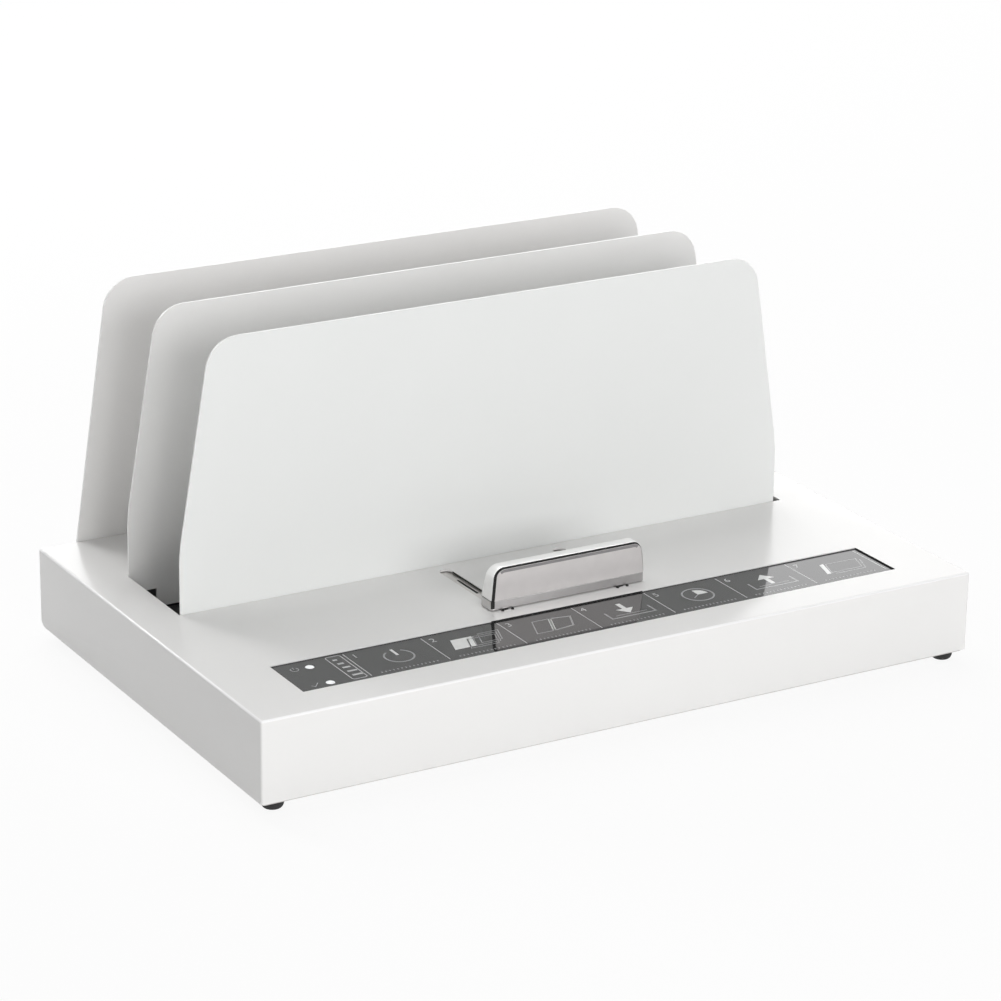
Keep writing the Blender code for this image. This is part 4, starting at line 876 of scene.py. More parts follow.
@dataclass
class Housing(SubAssembly):
    """Folded cover, base pan and feet."""

    edge_radius: float = 1.4 * MM
    fold_angle: float = 40.0
    fold_steps: int = 6
    sheet: float = 1.2 * MM
    inner_corner: float = 0.8 * MM
    seat: float = 0.3 * MM
    cut_edge: float = 0.5 * MM
    bay_side_gap: float = 0.5 * MM
    bay_end_gap: float = 5.0 * MM
    bay_corner: float = 1.0 * MM
    window_corner: float = 0.5 * MM
    slot_width: float = 8.0 * MM
    slot_spacing: float = 74.4 * MM
    slot_front: float = -68.5 * MM
    slot_rear: float = 1.5 * MM
    slot_steps: int = 16
    vent_shift: float = -105 * MM
    vent_width: float = 2.5 * MM
    vent_height: float = 18 * MM
    vent_pitch: float = 7 * MM
    vent_count: int = 12
    vent_steps: int = 8
    inlet_rim: float = 1.9 * MM
    switch_rim: float = 1.1 * MM
    rear_corner: float = 7.0 * MM
    rear_steps: int = 16
    overrun: float = 2.0 * MM
    # the black trims and dots in the slots are painted shade of the slot walls and front corners
    shade_trim: float = 0.18 * MM
    shade_trim_air: float = 0.03 * MM
    shade_trim_drop: float = 0.45 * MM
    shade_dot_radius: float = 0.85 * MM
    shade_dot_height: float = 0.9 * MM
    shade_dot_crown: float = 0.7
    shade_dot_shift: float = 3.1 * MM
    shade_dot_offset: float = 1.1 * MM
    shade_dot_place: float = -68.9 * MM
    shade_dot_sides: int = 24
    pan_edge: float = 0.12 * MM
    screw_inset: float = 16 * MM
    screw_reach: float = 165 * MM
    foot_edge: float = 0.3 * MM
    foot_dome: float = 3.5 * MM
    dome_steps: int = 8
    sole_radius: float = 3.8 * MM
    hole_radius: float = 2.4 * MM
    hole_edge: float = 0.2 * MM
    hole_depth: float = 2.2 * MM

    def build(self) -> None:
        """Makes the cover, the black trims and dots that are painted shade in the slots, the pan and the
        feet.
        """
        self.cover()
        self.shade_trims()
        self.pan()
        self.feet()

    @staticmethod
    def fold_highlight_share(way: Vector) -> float:
        """Share of painted highlight: 2 halfway round a fold of the deck's rim, and 0 on flat faces."""
        return 8 * way.z ** 2 * (1 - way.z ** 2) if way.z > 0 else 0.0

    def cover(self) -> None:
        """White cover with round folds and every opening cut through it."""
        low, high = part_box("housing_cover")
        bm = Shape.plate(Shape.rectangle(low.x, high.x, low.y, high.y), low.z, high.z)
        folds = [edge for edge in bm.edges if max(vert.co.z for vert in edge.verts) > high.z - WELD
                 and edge.calc_face_angle(0.0) > math.radians(self.fold_angle)]
        bmesh.ops.bevel(bm, geom=folds, offset=self.edge_radius, segments=self.fold_steps, profile=0.5,
                        affect="EDGES")
        cover = self.shop.plain("cover_shell", bm)
        sheet = self.sheet
        inside = Shape.rectangle(low.x + sheet, high.x - sheet, low.y + sheet, high.y - sheet,
                                 self.inner_corner)
        self.shop.cut(cover, Shape.plate(inside, low.z - self.overrun, high.z - sheet))
        self.deck_openings(cover, high.z)
        self.rear_openings(cover, high.y)
        self.rear_corners(cover, low, high)
        self.shop.soften(cover, self.cut_edge, 3, BENT)
        # painted highlight along the cover's rounded edges
        self.shop.note_highlight(cover, self.fold_highlight_share)
        self.shop.finish(cover, FINISHES.cover, nodes=["housing_cover"])

    def deck_openings(self, cover: Item, deck: float) -> None:
        """Cuts the bay, the handle's slots and the strip's window.

        Args:
            cover: the cover as it is so far.
            deck: height of the deck's top.
        """
        front, middle, strip = Box("front_divider"), Box("middle_divider"), Box("panel_overlay")
        half, seat = self.slot_width / 2, self.seat
        bay = Shape.rectangle(front.low.x - self.bay_side_gap, front.high.x + self.bay_end_gap,
                              front.low.y - seat, middle.high.y + seat, self.bay_corner)
        slots = [Shape.rectangle(x - half, x + half, self.slot_front, self.slot_rear, half - SLACK,
                                 self.slot_steps) for x in (-self.slot_spacing / 2, self.slot_spacing / 2)]
        window = Shape.rectangle(strip.low.x - seat, strip.high.x + seat, strip.low.y - seat,
                                 strip.high.y + seat, self.window_corner)
        for outline in (bay, *slots, window):
            self.shop.cut(cover, Shape.plate(outline, deck - self.sheet - self.overrun, deck + self.overrun))

    def shade_trims(self) -> None:
        """Painted shade: black bars on the long walls of both slots, and small black dots before their front
        ends.
        """
        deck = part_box("housing_cover")[1].z
        half, radius, top = self.slot_width / 2, self.shade_dot_radius, deck + self.shade_dot_height
        profile = [(0.0, deck), (radius, deck), (radius, top - radius / 3), (radius * self.shade_dot_crown, top),
                   (0.0, top)]
        bars, shade_dots = bmesh.new(), bmesh.new()
        for side, edge in product((-1, 1), (-1, 1)):
            x = side * self.slot_spacing / 2
            ends = sorted((x + edge * (half - self.shade_trim_air), x + edge * (half - self.shade_trim_air - self.shade_trim)))
            Shape.plate(Shape.rectangle(*ends, self.slot_front + half, self.slot_rear - half),
                        deck - self.sheet, deck - self.shade_trim_drop, into=bars)
            centre = (x + self.shade_dot_offset + edge * self.shade_dot_shift, self.shade_dot_place, 0.0)
            Shape.lathe(profile, centre, sides=self.shade_dot_sides, into=shade_dots)
        # painted shade in the slots
        self.shop.piece("slot_trims", bars, FINISHES.shade_backing)
        self.shop.piece("slot_stops", shade_dots, FINISHES.shade_backing)

    def rear_openings(self, cover: Item, rear: float) -> None:
        """Cuts the vents and the places of the inlet and the switch.

        Args:
            cover: the cover as it is so far.
            rear: place of the rear wall's outer face.
        """
        middle, half, outlines = Box("mains_inlet").z, self.vent_width / 2, []
        for index in range(self.vent_count):
            x = self.vent_shift + (index - (self.vent_count - 1) / 2) * self.vent_pitch
            outlines.append(Shape.rectangle(x - half, x + half, middle - self.vent_height / 2,
                                            middle + self.vent_height / 2, half - SLACK, self.vent_steps))
        for node, rim in (("mains_inlet", self.inlet_rim), ("power_switch_body", self.switch_rim)):
            low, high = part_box(node)
            outlines.append(Shape.rectangle(low.x + rim - self.seat, high.x - rim + self.seat,
                                            low.z + rim, high.z - rim))
        for outline in outlines:
            self.shop.cut(cover, Shape.plate(outline, rear - self.sheet - self.overrun,
                                             rear + self.overrun / 2, Axis.Y))

    def rear_corners(self, cover: Item, low: Vector, high: Vector) -> None:
        """Rounds the lower rear corners of the side walls.

        Args:
            cover: the cover as it is so far.
            low: lower corner of the cover's box.
            high: upper corner of it.
        """
        radius, over, steps = self.rear_corner, self.overrun, self.rear_steps
        centre_y, centre_z = high.y - radius, low.z + radius
        turns = [math.pi / 2 * step / steps for step in range(steps + 1)]
        arc = [(centre_y + radius * math.sin(turn), centre_z - radius * math.cos(turn)) for turn in turns]
        outline = arc + [(high.y + over, centre_z), (high.y + over, low.z - over), (centre_y, low.z - over)]
        for side in (-1, 1):
            ends = sorted((side * (high.x + over), side * (high.x - self.sheet - over)))
            self.shop.cut(cover, Shape.plate(outline, *ends, Axis.X))

    def pan(self) -> None:
        """Zinc-plated pan with the screws that hold the cover and the boards."""
        self.shop.refine("base_pan", "base_tray", FINISHES.zinc, self.pan_edge, 1, BENT)
        low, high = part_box("base_pan")
        rows = (low.y + self.screw_inset, high.y - self.screw_inset)
        places = [(x, y, low.z) for x in (-self.screw_reach, 0.0, self.screw_reach) for y in rows]
        ScrewSet().fix(self.shop, "pan_screws", places, Vector((0, 0, -1)))

    def feet(self) -> None:
        """Domed rubber feet with a sunk screw in each."""
        edge, dome, hole, steps = self.foot_edge, self.foot_dome, self.hole_radius, self.dome_steps
        for row, column in product(("front", "rear"), ("left", "right")):
            node = f"foot_{row}_{column}"
            box = Box(node)
            radius, height = box.radius, box.high.z
            profile = [(0.0, height), (radius - edge, height), (radius, height - edge), (radius, dome)]
            for step in range(1, steps + 1):
                turn = math.pi / 2 * step / steps
                profile.append((radius - (radius - self.sole_radius) * (1 - math.cos(turn)),
                                dome * (1 - math.sin(turn))))
            profile += [(hole + self.hole_edge, 0.0), (hole, self.hole_edge), (hole, self.hole_depth),
                        (0.0, self.hole_depth)]
            self.shop.piece(f"rubber_{node}", Shape.lathe(profile, (box.x, box.y, 0.0)), FINISHES.rubber,
                            nodes=[node])


@dataclass
class Dividers(SubAssembly):
    """Three upright sheets with softened edges."""

    edge: float = 0.28 * MM
    rear_taper: float = 2.8 * MM
    screw_count: int = 5
    screw_inset: float = 30 * MM
    screw_height: float = 47.5 * MM

    @staticmethod
    def edge_highlight_share(way: Vector) -> float:
        """Share of painted highlight: 1.5 on a sheet's edge, and 0 on its two faces."""
        return 1.5 - 1.5 * way.y ** 2

    def build(self) -> None:
        """Makes each sheet on its own body."""
        refine, edge = self.shop.refine, self.edge
        front = refine("front_divider", "front_divider_sheet", FINISHES.plate, edge, body="carriage")
        middle = refine("middle_divider", "middle_divider_sheet", FINISHES.sheet, edge)
        low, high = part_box("rear_divider")
        rear_sheet, share = self.shop.copy_of("rear_divider"), 1 - self.rear_taper / high.x
        for vert in rear_sheet.verts:
            if vert.co.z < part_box("housing_cover")[1].z + MM:
                vert.co.x *= share
        back = self.shop.piece("rear_divider_sheet", rear_sheet, FINISHES.sheet, edge, nodes=["rear_divider"])
        # painted highlight along the sheets' edges
        for item in (front, middle, back):
            self.shop.note_highlight(item, self.edge_highlight_share)
        pitch = (high.x - low.x - 2 * self.screw_inset) / (self.screw_count - 1)
        places = [(low.x + self.screw_inset + index * pitch, high.y, self.screw_height)
                  for index in range(self.screw_count)]
        screws = ScrewSet(radius=2.4 * MM, height=1.3 * MM, recess=0.7 * MM, seed=3)
        screws.fix(self.shop, "divider_screws", places, Vector((0, 1, 0)))


@dataclass
class Handle(SubAssembly):
    """Chrome grip with a satin face that stands before a black backing, which is painted shade in the pocket,
    on a grey foot band that is darker partly as painted shade.
    """

    end_lean: float = 1.9 * MM
    front_lean: float = 0.5 * MM
    rear_lean: float = 4.0 * MM
    corner: float = 6.8 * MM
    corner_steps: int = 16
    rim: float = 0.25 * MM
    gap: float = 1.45 * MM
    left_gap: float = 2.1 * MM
    right_gap: float = 0.2 * MM
    recess: float = 0.1 * MM
    face_thickness: float = 0.4 * MM
    face_edge: float = 0.12 * MM
    # depth of the black backing that is painted shade in the pocket
    shade_backing: float = 1.4 * MM
    air: float = 0.03 * MM
    # width of the band of painted shade along the face's top
    shade_band: float = 1.7 * MM
    border_inset: float = 0.1 * MM
    border_skip: int = 9
    border_lift: float = 0.05 * MM
    hem: float = 0.25 * MM
    edge: float = 0.6 * MM
    edge_limit: float = 25.0
    overrun: float = 2.0 * MM
    foot_edge: float = 0.25 * MM
    foot_rise: float = 0.9 * MM
    foot_cap: float = 0.7 * MM
    post_chamfer: float = 0.4 * MM

    def __post_init__(self) -> None:
        """Reads where the grip stands."""
        self.low, self.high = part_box("handle_body")

    def build(self) -> None:
        """Makes the grip with its face, the foot band and the posts."""
        self.grip()
        self.face()
        self.foot()
        for side in ("left", "right"):
            self.stud(side)

    def outline(self, inset: float, foot: float = 0.0) -> list[Point]:
        """Front outline of the grip, moved in at its ends and top.

        Args:
            inset: how far the ends and the top move in.
            foot: how far the bottom moves down.

        Returns:
            Points as (x, z).
        """
        middle, height = (self.low.x + self.high.x) / 2, self.high.z - self.low.z
        lean = self.end_lean / height
        bottom, top = self.low.z - foot, self.high.z - inset
        half = (self.high.x - self.low.x) / 2 - inset * math.hypot(1, lean)
        wide = half + lean * foot
        narrow = half - lean * (top - self.low.z)
        radius = self.corner - inset
        return Shape.filleted([(middle - wide, bottom, 0), (middle + wide, bottom, 0),
                               (middle + narrow, top, radius), (middle - narrow, top, radius)],
                              self.corner_steps)

    def face_outline(self, inset: float = 0.0) -> list[Point]:
        """Outline of the satin face, nearer to the right end than to the left.

        Args:
            inset: how far the outline moves in.

        Returns:
            Points as (x, z).
        """
        points = self.outline(self.rim + self.gap + inset, self.hem)
        left, right = (pick(x for x, _ in points) for pick in (min, max))
        start, end = left + self.left_gap - self.gap, right + self.gap - self.right_gap
        return [(start + (x - left) * (end - start) / (right - left), z) for x, z in points]

    def leaning(self, outline: Sequence[Point], front: float, back: float, front_lean: float,
                back_lean: float) -> Mesh:
        """Solid whose front and back faces lean with height.

        Args:
            outline: its points as (x, z).
            front: y of the front face at the grip's foot.
            back: y of the back face there.
            front_lean: how far the front face goes back at the grip's top.
            back_lean: how far the back face goes back there.

        Returns:
            The solid.
        """
        bm = Shape.plate(outline, front, back, Axis.Y)
        self.lean(bm, (front + back) / 2, front_lean, back_lean)
        return bm

    def lean(self, bm: Mesh, middle: float, front_lean: float, back_lean: float) -> None:
        """Moves points back with height, the ones before and behind a plane by their own share.

        Args:
            bm: the mesh to change.
            middle: y of the plane.
            front_lean: move of the points before it, at the grip's top.
            back_lean: move of the points behind it there.
        """
        for vert in bm.verts:
            lean = front_lean if vert.co.y < middle else back_lean
            vert.co.y += lean * (vert.co.z - self.low.z) / (self.high.z - self.low.z)

    def grip(self) -> None:
        """Chrome body with a pocket in its front, open at the bottom."""
        front, lean, over = self.low.y, self.front_lean, self.overrun
        body = self.shop.plain("handle_grip",
                               self.leaning(self.outline(0), front, self.high.y, lean, -self.rear_lean))
        self.shop.soften(body, self.edge, 5, self.edge_limit)
        floor = front + self.recess + self.face_thickness + self.shade_backing
        self.shop.cut(body, self.leaning(self.outline(self.rim, over), front - over, floor, lean, lean))
        self.shop.soften(body, 0.0)
        self.shop.finish(body, FINISHES.chrome, "carriage", ["handle_body"])

    def face(self) -> None:
        """Satin face, a band of painted shade and reflection along its top, and the black backing that is
        painted shade in the pocket.
        """
        front, lean, air = self.low.y + self.recess, self.front_lean, self.air
        back = front + self.face_thickness
        self.shop.piece("handle_inlay", self.leaning(self.face_outline(), front, back - air, lean, lean),
                        FINISHES.satin, self.face_edge, body="carriage", nodes=["handle_face"])
        behind = self.leaning(self.outline(self.rim + air, -air), back, back + self.shade_backing - air, lean, lean)
        self.shop.piece("handle_backing", behind, FINISHES.shade_backing, body="carriage")
        line = self.face_outline(self.border_inset + self.shade_band / 2)[2 + self.border_skip:-self.border_skip]
        bm = bmesh.new()
        Shape.ribbon(bm, line, self.shade_band, front - self.border_lift, front + self.border_lift, axis=Axis.Y)
        self.lean(bm, front, lean, lean)
        self.shop.piece("inlay_border", bm, FINISHES.shade_band, body="carriage")

    def foot(self) -> None:
        """Grey foot band, whose darker grey is partly painted shade, with a paler cap, and a black filler in
        the groove down its front that is painted shade of the gap.
        """
        low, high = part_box("handle_base")
        air, left = self.air, self.low.x + self.rim
        right, cap = left + self.left_gap, self.low.x + self.foot_cap
        rear, bottom = low.y + self.shade_backing + self.edge, low.z + self.foot_rise
        groove = Shape.rectangle(left, right, low.y - MM, rear)
        for name, start, stop, finish, nodes in (
                ("handle_foot", low.x - MM, cap, FINISHES.foot, ["handle_base"]),
                ("handle_foot_end", cap - air, high.x + MM, FINISHES.cap, [])):
            item = self.shop.plain(name, self.shop.copy_of("handle_base"))
            spare = Shape.rectangle(start, stop, low.y - MM, high.y + MM)
            self.shop.cut(item, Shape.plate(spare, low.z - MM, high.z + MM))
            self.shop.cut(item, Shape.plate(groove, bottom, high.z + MM))
            self.shop.soften(item, self.foot_edge)
            self.shop.finish(item, finish, "carriage", nodes)
        # black filler in the groove: painted shade of the gap
        filler = Shape.rectangle(left + air, right - air, low.y + self.foot_edge, rear - air)
        self.shop.piece("foot_gap", Shape.plate(filler, bottom + air, high.z - air), FINISHES.shade_backing,
                        body="carriage")

    def stud(self, side: str) -> None:
        """Round post between the foot band and the carriage.

        Args:
            side: left or right.
        """
        node, chamfer = f"handle_post_{side}", self.post_chamfer
        box = Box(node)
        low, high, radius = box.low.z, box.high.z, box.radius
        profile = [(0.0, low), (radius, low), (radius, high - chamfer), (radius - chamfer, high), (0.0, high)]
        self.shop.piece(f"handle_stud_{side}", Shape.lathe(profile, (box.x, box.y, 0.0)), FINISHES.ground,
                        body="carriage", nodes=[node])


@dataclass
class Carriage(SubAssembly):
    """Sheet under the deck with its bushes, and the rods that it slides on."""

    sheet: float = 1.2 * MM
    bend: float = 2.0 * MM
    round_steps: int = 8
    sheet_edge: float = 0.15 * MM
    slit_width: float = 1.6 * MM
    slit_front: float = -36.0 * MM
    slit_rear: float = -12.4 * MM
    slit_shift: float = 1.2 * MM
    slit_round: float = 0.99
    slot_spacing: float = 74.4 * MM
    bush_edge: float = 0.4 * MM
    bush_limit: float = 40.0
    bracket_edge: float = 0.15 * MM
    rod_chamfer: float = 0.6 * MM

    def build(self) -> None:
        """Makes the carriage, the bushes, the rods and their brackets."""
        self.plate()
        for side in ("left", "right"):
            self.shop.refine(f"slide_bush_{side}", f"nylon_bush_{side}", FINISHES.nylon, self.bush_edge, 3,
                             self.bush_limit, "carriage")
            self.shop.refine(f"rail_bracket_{side}", f"rod_bracket_{side}", FINISHES.steel, self.bracket_edge)
            self.rod(side)

    def plate(self) -> None:
        """Bent zinc-plated sheet with a slit behind each of the handle's posts."""
        low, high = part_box("carriage_plate")
        flange, under = high.y - self.sheet, high.z - self.sheet
        profile = Shape.filleted([(low.y, high.z, 0), (low.y, under, 0),
                                  (flange, under, self.bend - self.sheet), (flange, low.z, 0),
                                  (high.y, low.z, 0), (high.y, high.z, self.bend)], self.round_steps)
        sheet = self.shop.plain("carriage_sheet", Shape.plate(profile, low.x, high.x, Axis.X))
        slits, half = bmesh.new(), self.slit_width / 2
        for side in (-1, 1):
            x = side * self.slot_spacing / 2 + self.slit_shift
            slit = Shape.rectangle(x - half, x + half, self.slit_front, self.slit_rear,
                                   half * self.slit_round, self.round_steps)
            Shape.plate(slit, under - MM, high.z + MM, into=slits)
        self.shop.cut(sheet, slits)
        self.shop.soften(sheet, self.sheet_edge, 2, BENT)
        self.shop.finish(sheet, FINISHES.zinc, "carriage", ["carriage_plate"])

    def rod(self, side: str) -> None:
        """Ground rod with chamfered ends.

        Args:
            side: left or right.
        """
        node, chamfer = f"guide_rod_{side}", self.rod_chamfer
        box = Box(node)
        front, rear, radius = box.low.y, box.high.y, box.radius
        profile = [(0.0, front), (radius - chamfer, front), (radius, front + chamfer),
                   (radius, rear - chamfer), (radius - chamfer, rear), (0.0, rear)]
        self.shop.piece(f"ground_rod_{side}", Shape.lathe(profile, (box.x, 0.0, box.z), Axis.Y),
                        FINISHES.ground, nodes=[node])


@dataclass
class Heater(SubAssembly):
    """Heating plate in its trough, with what lies under it."""

    plate_edge: float = 0.3 * MM
    trough_edge: float = 0.1 * MM
    end_edge: float = 0.15 * MM
    case_edge: float = 0.2 * MM

    def build(self) -> None:
        """Makes the heater's pieces."""
        self.shop.refine("heating_plate", "hot_plate", FINISHES.coating, self.plate_edge)
        self.shop.refine("heater_trough", "heater_tray", FINISHES.coating, self.trough_edge, 1)
        for side in ("left", "right"):
            self.shop.refine(f"heater_end_{side}", f"tray_end_{side}", FINISHES.coating, self.end_edge, 1)
        self.shop.refine("thermostat", "snap_thermostat", FINISHES.plastic, self.case_edge)
        self.shop.dress(FINISHES.mica, "heater_element")
        self.shop.dress(FINISHES.wool, "insulation_board")


@dataclass
class Sensor(SubAssembly):
    """Lever in the middle divider's window, with its bracket and switch."""

    sheet_edge: float = 0.1 * MM
    case_edge: float = 0.2 * MM

    def build(self) -> None:
        """Makes the lever and what holds it."""
        self.shop.refine("sensor_lever", "feeler_lever", FINISHES.steel, self.sheet_edge, 1, body="lever")
        self.shop.refine("sensor_bracket", "feeler_bracket", FINISHES.steel, self.sheet_edge, 1)
        self.shop.refine("sensor_switch", "feeler_switch", FINISHES.plastic, self.case_edge)
        self.shop.dress(FINISHES.ground, "sensor_pin")


@dataclass(frozen=True)
class Stroke:
    """Printed line, in millimetres from the middle of its cell."""

    points: Sequence[Point]
    closed: bool = False
    bold: bool = False


@dataclass(frozen=True)
class Sign:
    """Plain sign with its lines and its filled area, in millimetres from the middle of its cell."""

    strokes: Sequence[Stroke]
    fill: Sequence[Point]


def outlined_sheet(shift: float) -> Stroke:
    """One of the sheets that lie fanned out, moved by a shift."""
    return Stroke([(-8 + shift * 2, -9 + shift), (9 + shift, -9 + shift), (13 + shift, 3 + shift),
                   (-4 + shift * 2, 3 + shift)], True)


TRAY = (Stroke([(-14, 0), (-14, -9), (14, -9), (14, 0)], bold=True), Stroke([(-10, -6), (10, -6)]))
ARROW = ((-1.4, -5), (1.4, -5), (1.4, 2.5), (5.5, 2.5), (0, 9), (-5.5, 2.5), (-1.4, 2.5))
SIGN_ON = Sign([Stroke(Shape.arc(8.2, 32, 328), bold=True)],
               [(-0.8, 1.5), (0.8, 1.5), (0.8, 9.8), (-0.8, 9.8)])
SIGN_SHEETS = Sign([outlined_sheet(shift) for shift in (0.0, 2.2, 4.4)],
                   [(-17, -7), (-4, -7), (0, 6), (-13, 6)])
SIGN_COVER = Sign([Stroke([(-14, -8), (-3, -8), (3, 8), (-8, 8)], True),
                   Stroke([(-3, -8), (10, -6), (15, 6), (3, 8)], bold=True)],
                  [(-4, -8), (-2, -8), (4, 8), (2, 8)])
SIGN_IN = Sign(TRAY, [(u, 4 - v) for u, v in reversed(ARROW)])
SIGN_WAIT = Sign([Stroke(Shape.arc(9.0, 0, 350), True, True), Stroke([(0, 0), (-4.5, -3.5)])],
                 [(0, 0), *reversed(Shape.arc(6.6, 0, 90, 12))])
SIGN_OUT = Sign(TRAY, ARROW)
SIGN_COOL = Sign([Stroke([(-9, -7), (12, -7), (16, 5), (-5, 5)], True),
                  Stroke([(-8, -9.5), (13, -9.5), (17.5, 3)])],
                 [(-12.5, -8), (-9.8, -8), (-5.8, 6), (-8.5, 6)])
RING_AND_BAR = (Shape.arc(2.2, 40, 320), ((0, 0.6), (0, 3.0)))
TICK = (((-2.2, 0), (-0.6, -1.8), (2.6, 2.2)),)


@dataclass
class ControlStrip(SubAssembly):
    """Glossy strip let into the deck, its prints, the black bead and bars that are painted shade in its
    joint, and two indicators.
    """

    ink: float = 0.02 * MM
    lift: float = 0.01 * MM
    rule: float = 0.6 * MM
    line: float = 0.62 * MM
    bold: float = 1.1 * MM
    carrier_edge: float = 0.15 * MM
    joint: float = 0.25 * MM
    outer_corner: float = 0.5 * MM
    inner_corner: float = 0.3 * MM
    # black bead and bars in the strip's joint: painted shade of its walls, and painted reflection of the
    # shade under the handle
    shade_seal_width: float = 0.25 * MM
    shade_seal_height: float = 0.2 * MM
    shade_seal_drop: float = 0.10 * MM
    rear_shade_left: float = -52.5 * MM
    rear_shade_right: float = 45.0 * MM
    rear_shade_height: float = 0.7 * MM
    dome: float = 0.5 * MM
    dome_steps: int = 8
    cells: int = 7
    cell_pitch: float = 47.5 * MM
    first_rule: float = 42.35 * MM
    rear_margin: float = 2.0 * MM
    front_margin: float = 4.0 * MM
    frame_left: float = 11.0 * MM
    frame_right: float = 2.2 * MM
    frame_corner: float = 1.6 * MM
    step_count: int = 5
    step_drop: float = 5.0 * MM
    step_pitch: float = 5.6 * MM
    step_short: float = 6.2 * MM
    step_growth: float = 1.0 * MM
    step_inset: float = 2.4 * MM
    step_line: float = 1.9 * MM
    ticks: int = 15
    tick_pitch: float = 2.4 * MM
    tick_place: float = 1.4 * MM
    tick_width: float = 0.8 * MM
    tick_length: float = 1.5 * MM
    sign_right: float = 2.0 * MM
    sign_back: float = 1.6 * MM
    lens_sign: float = 6.5 * MM
    digit_size: float = 7.0 * MM
    digit_right: float = 4.6 * MM
    digit_drop: float = 9.5 * MM

    def __post_init__(self) -> None:
        """Reads where the strip lies."""
        self.low, self.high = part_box("panel_overlay")
        self.top = self.high.z + self.lift
        self.middle = (self.low.y + self.high.y) / 2 + self.sign_back

    def build(self) -> None:
        """Makes everything that the strip shows."""
        self.shop.dress(FINISHES.film, "panel_overlay")
        self.shop.dress(FINISHES.board, "indicator_board")
        self.shop.refine("panel_carrier", "strip_carrier", FINISHES.plastic, self.carrier_edge, 1)
        self.shade_seal()
        self.lenses()
        self.rules()
        self.scale()
        self.signs()
        self.numbers()

    def shade_seal(self) -> None:
        """Black bead in the joint round the strip, lower than the deck, as painted shade; a taller bar at the
        right end as painted shade of that wall; and a bar along the rear edge as painted reflection of the
        shade under the handle.
        """
        deck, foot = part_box("housing_cover")[1].z, self.high.z + self.lift
        low, high, width, grow = self.low, self.high, self.shade_seal_width, self.joint
        outer = Shape.rectangle(low.x - grow, high.x + grow, low.y - grow, high.y + grow, self.outer_corner)
        inner = Shape.rectangle(low.x + width - grow, high.x - width + grow, low.y + width - grow,
                                high.y - width + grow, self.inner_corner)
        bead = Shape.plate(outer, foot, foot + self.shade_seal_height, Axis.Z, [inner])
        self.shop.piece("strip_seal", bead, FINISHES.shade_backing)
        end = Shape.rectangle(high.x + grow - width, high.x + grow, low.y + width, high.y - width)
        rear = Shape.rectangle(self.rear_shade_left, self.rear_shade_right, high.y + grow - width,
                               high.y + grow)
        for name, outline, top in (("strip_end_seal", end, deck - self.shade_seal_drop),
                                   ("strip_rear_seal", rear, foot + self.rear_shade_height)):
            self.shop.piece(name, Shape.plate(outline, foot + self.shade_seal_height, top), FINISHES.shade_backing)

    def lenses(self) -> None:
        """Domed white indicators."""
        dome, steps = self.dome, self.dome_steps
        for name in ("power", "ready"):
            box = Box(f"indicator_{name}")
            turns = [math.pi / 2 * step / steps for step in range(steps)]
            foot, top, radius = box.low.z, box.high.z, box.radius
            crown = [(radius * math.cos(turn), top - dome + dome * math.sin(turn)) for turn in turns]
            profile = [(0.0, foot), (radius, foot), *crown, (0.0, top)]
            self.shop.piece(f"lens_{name}", Shape.lathe(profile, (box.x, box.y, 0.0)), FINISHES.lens,
                            nodes=[f"indicator_{name}"])

    def cell(self, index: float) -> float:
        """X of a rule, or of a place between two, counted from the first."""
        return self.low.x + self.first_rule + index * self.cell_pitch

    def rules(self) -> None:
        """Thin lines between the cells, and the frame with growing bars before the first."""
        rear, front = self.high.y - self.rear_margin, self.low.y + self.front_margin
        start = (self.cell(0), (rear + front) / 2, self.top + self.ink / 2)
        self.shop.row("cell_rules", self.cells + 1, start, (self.cell_pitch, 0.0, 0.0),
                      (self.rule, rear - front, self.ink), FINISHES.rule)
        bm = bmesh.new()
        left, right = self.cell(0) - self.frame_left, self.cell(0) - self.frame_right
        self.stroke(bm, Shape.rectangle(left, right, front, rear, self.frame_corner), self.rule, True)
        for index in range(self.step_count):
            y = rear - self.step_drop - index * self.step_pitch
            end = right - self.step_short + index * self.step_growth + self.step_inset
            self.stroke(bm, [(left + self.step_inset, y), (end, y)], self.step_line)
        self.shop.piece("step_frame", bm, FINISHES.rule)

    def scale(self) -> None:
        """Row of short ticks along the front of every cell."""
        y = self.low.y + self.front_margin + self.tick_place
        length = (self.ticks - 1) * self.tick_pitch
        for index in range(self.cells):
            start = (self.cell(index + 0.5) - length / 2, y, self.top + self.ink / 2)
            self.shop.row(f"cell_scale_{index + 1}", self.ticks, start, (self.tick_pitch, 0.0, 0.0),
                          (self.tick_width, self.tick_length, self.ink), FINISHES.print)

    def stroke(self, bm: Mesh, points: Sequence[Point], width: float, closed: bool = False) -> None:
        """Adds a printed line to a mesh."""
        Shape.ribbon(bm, points, width, self.top, self.top + self.ink, closed)

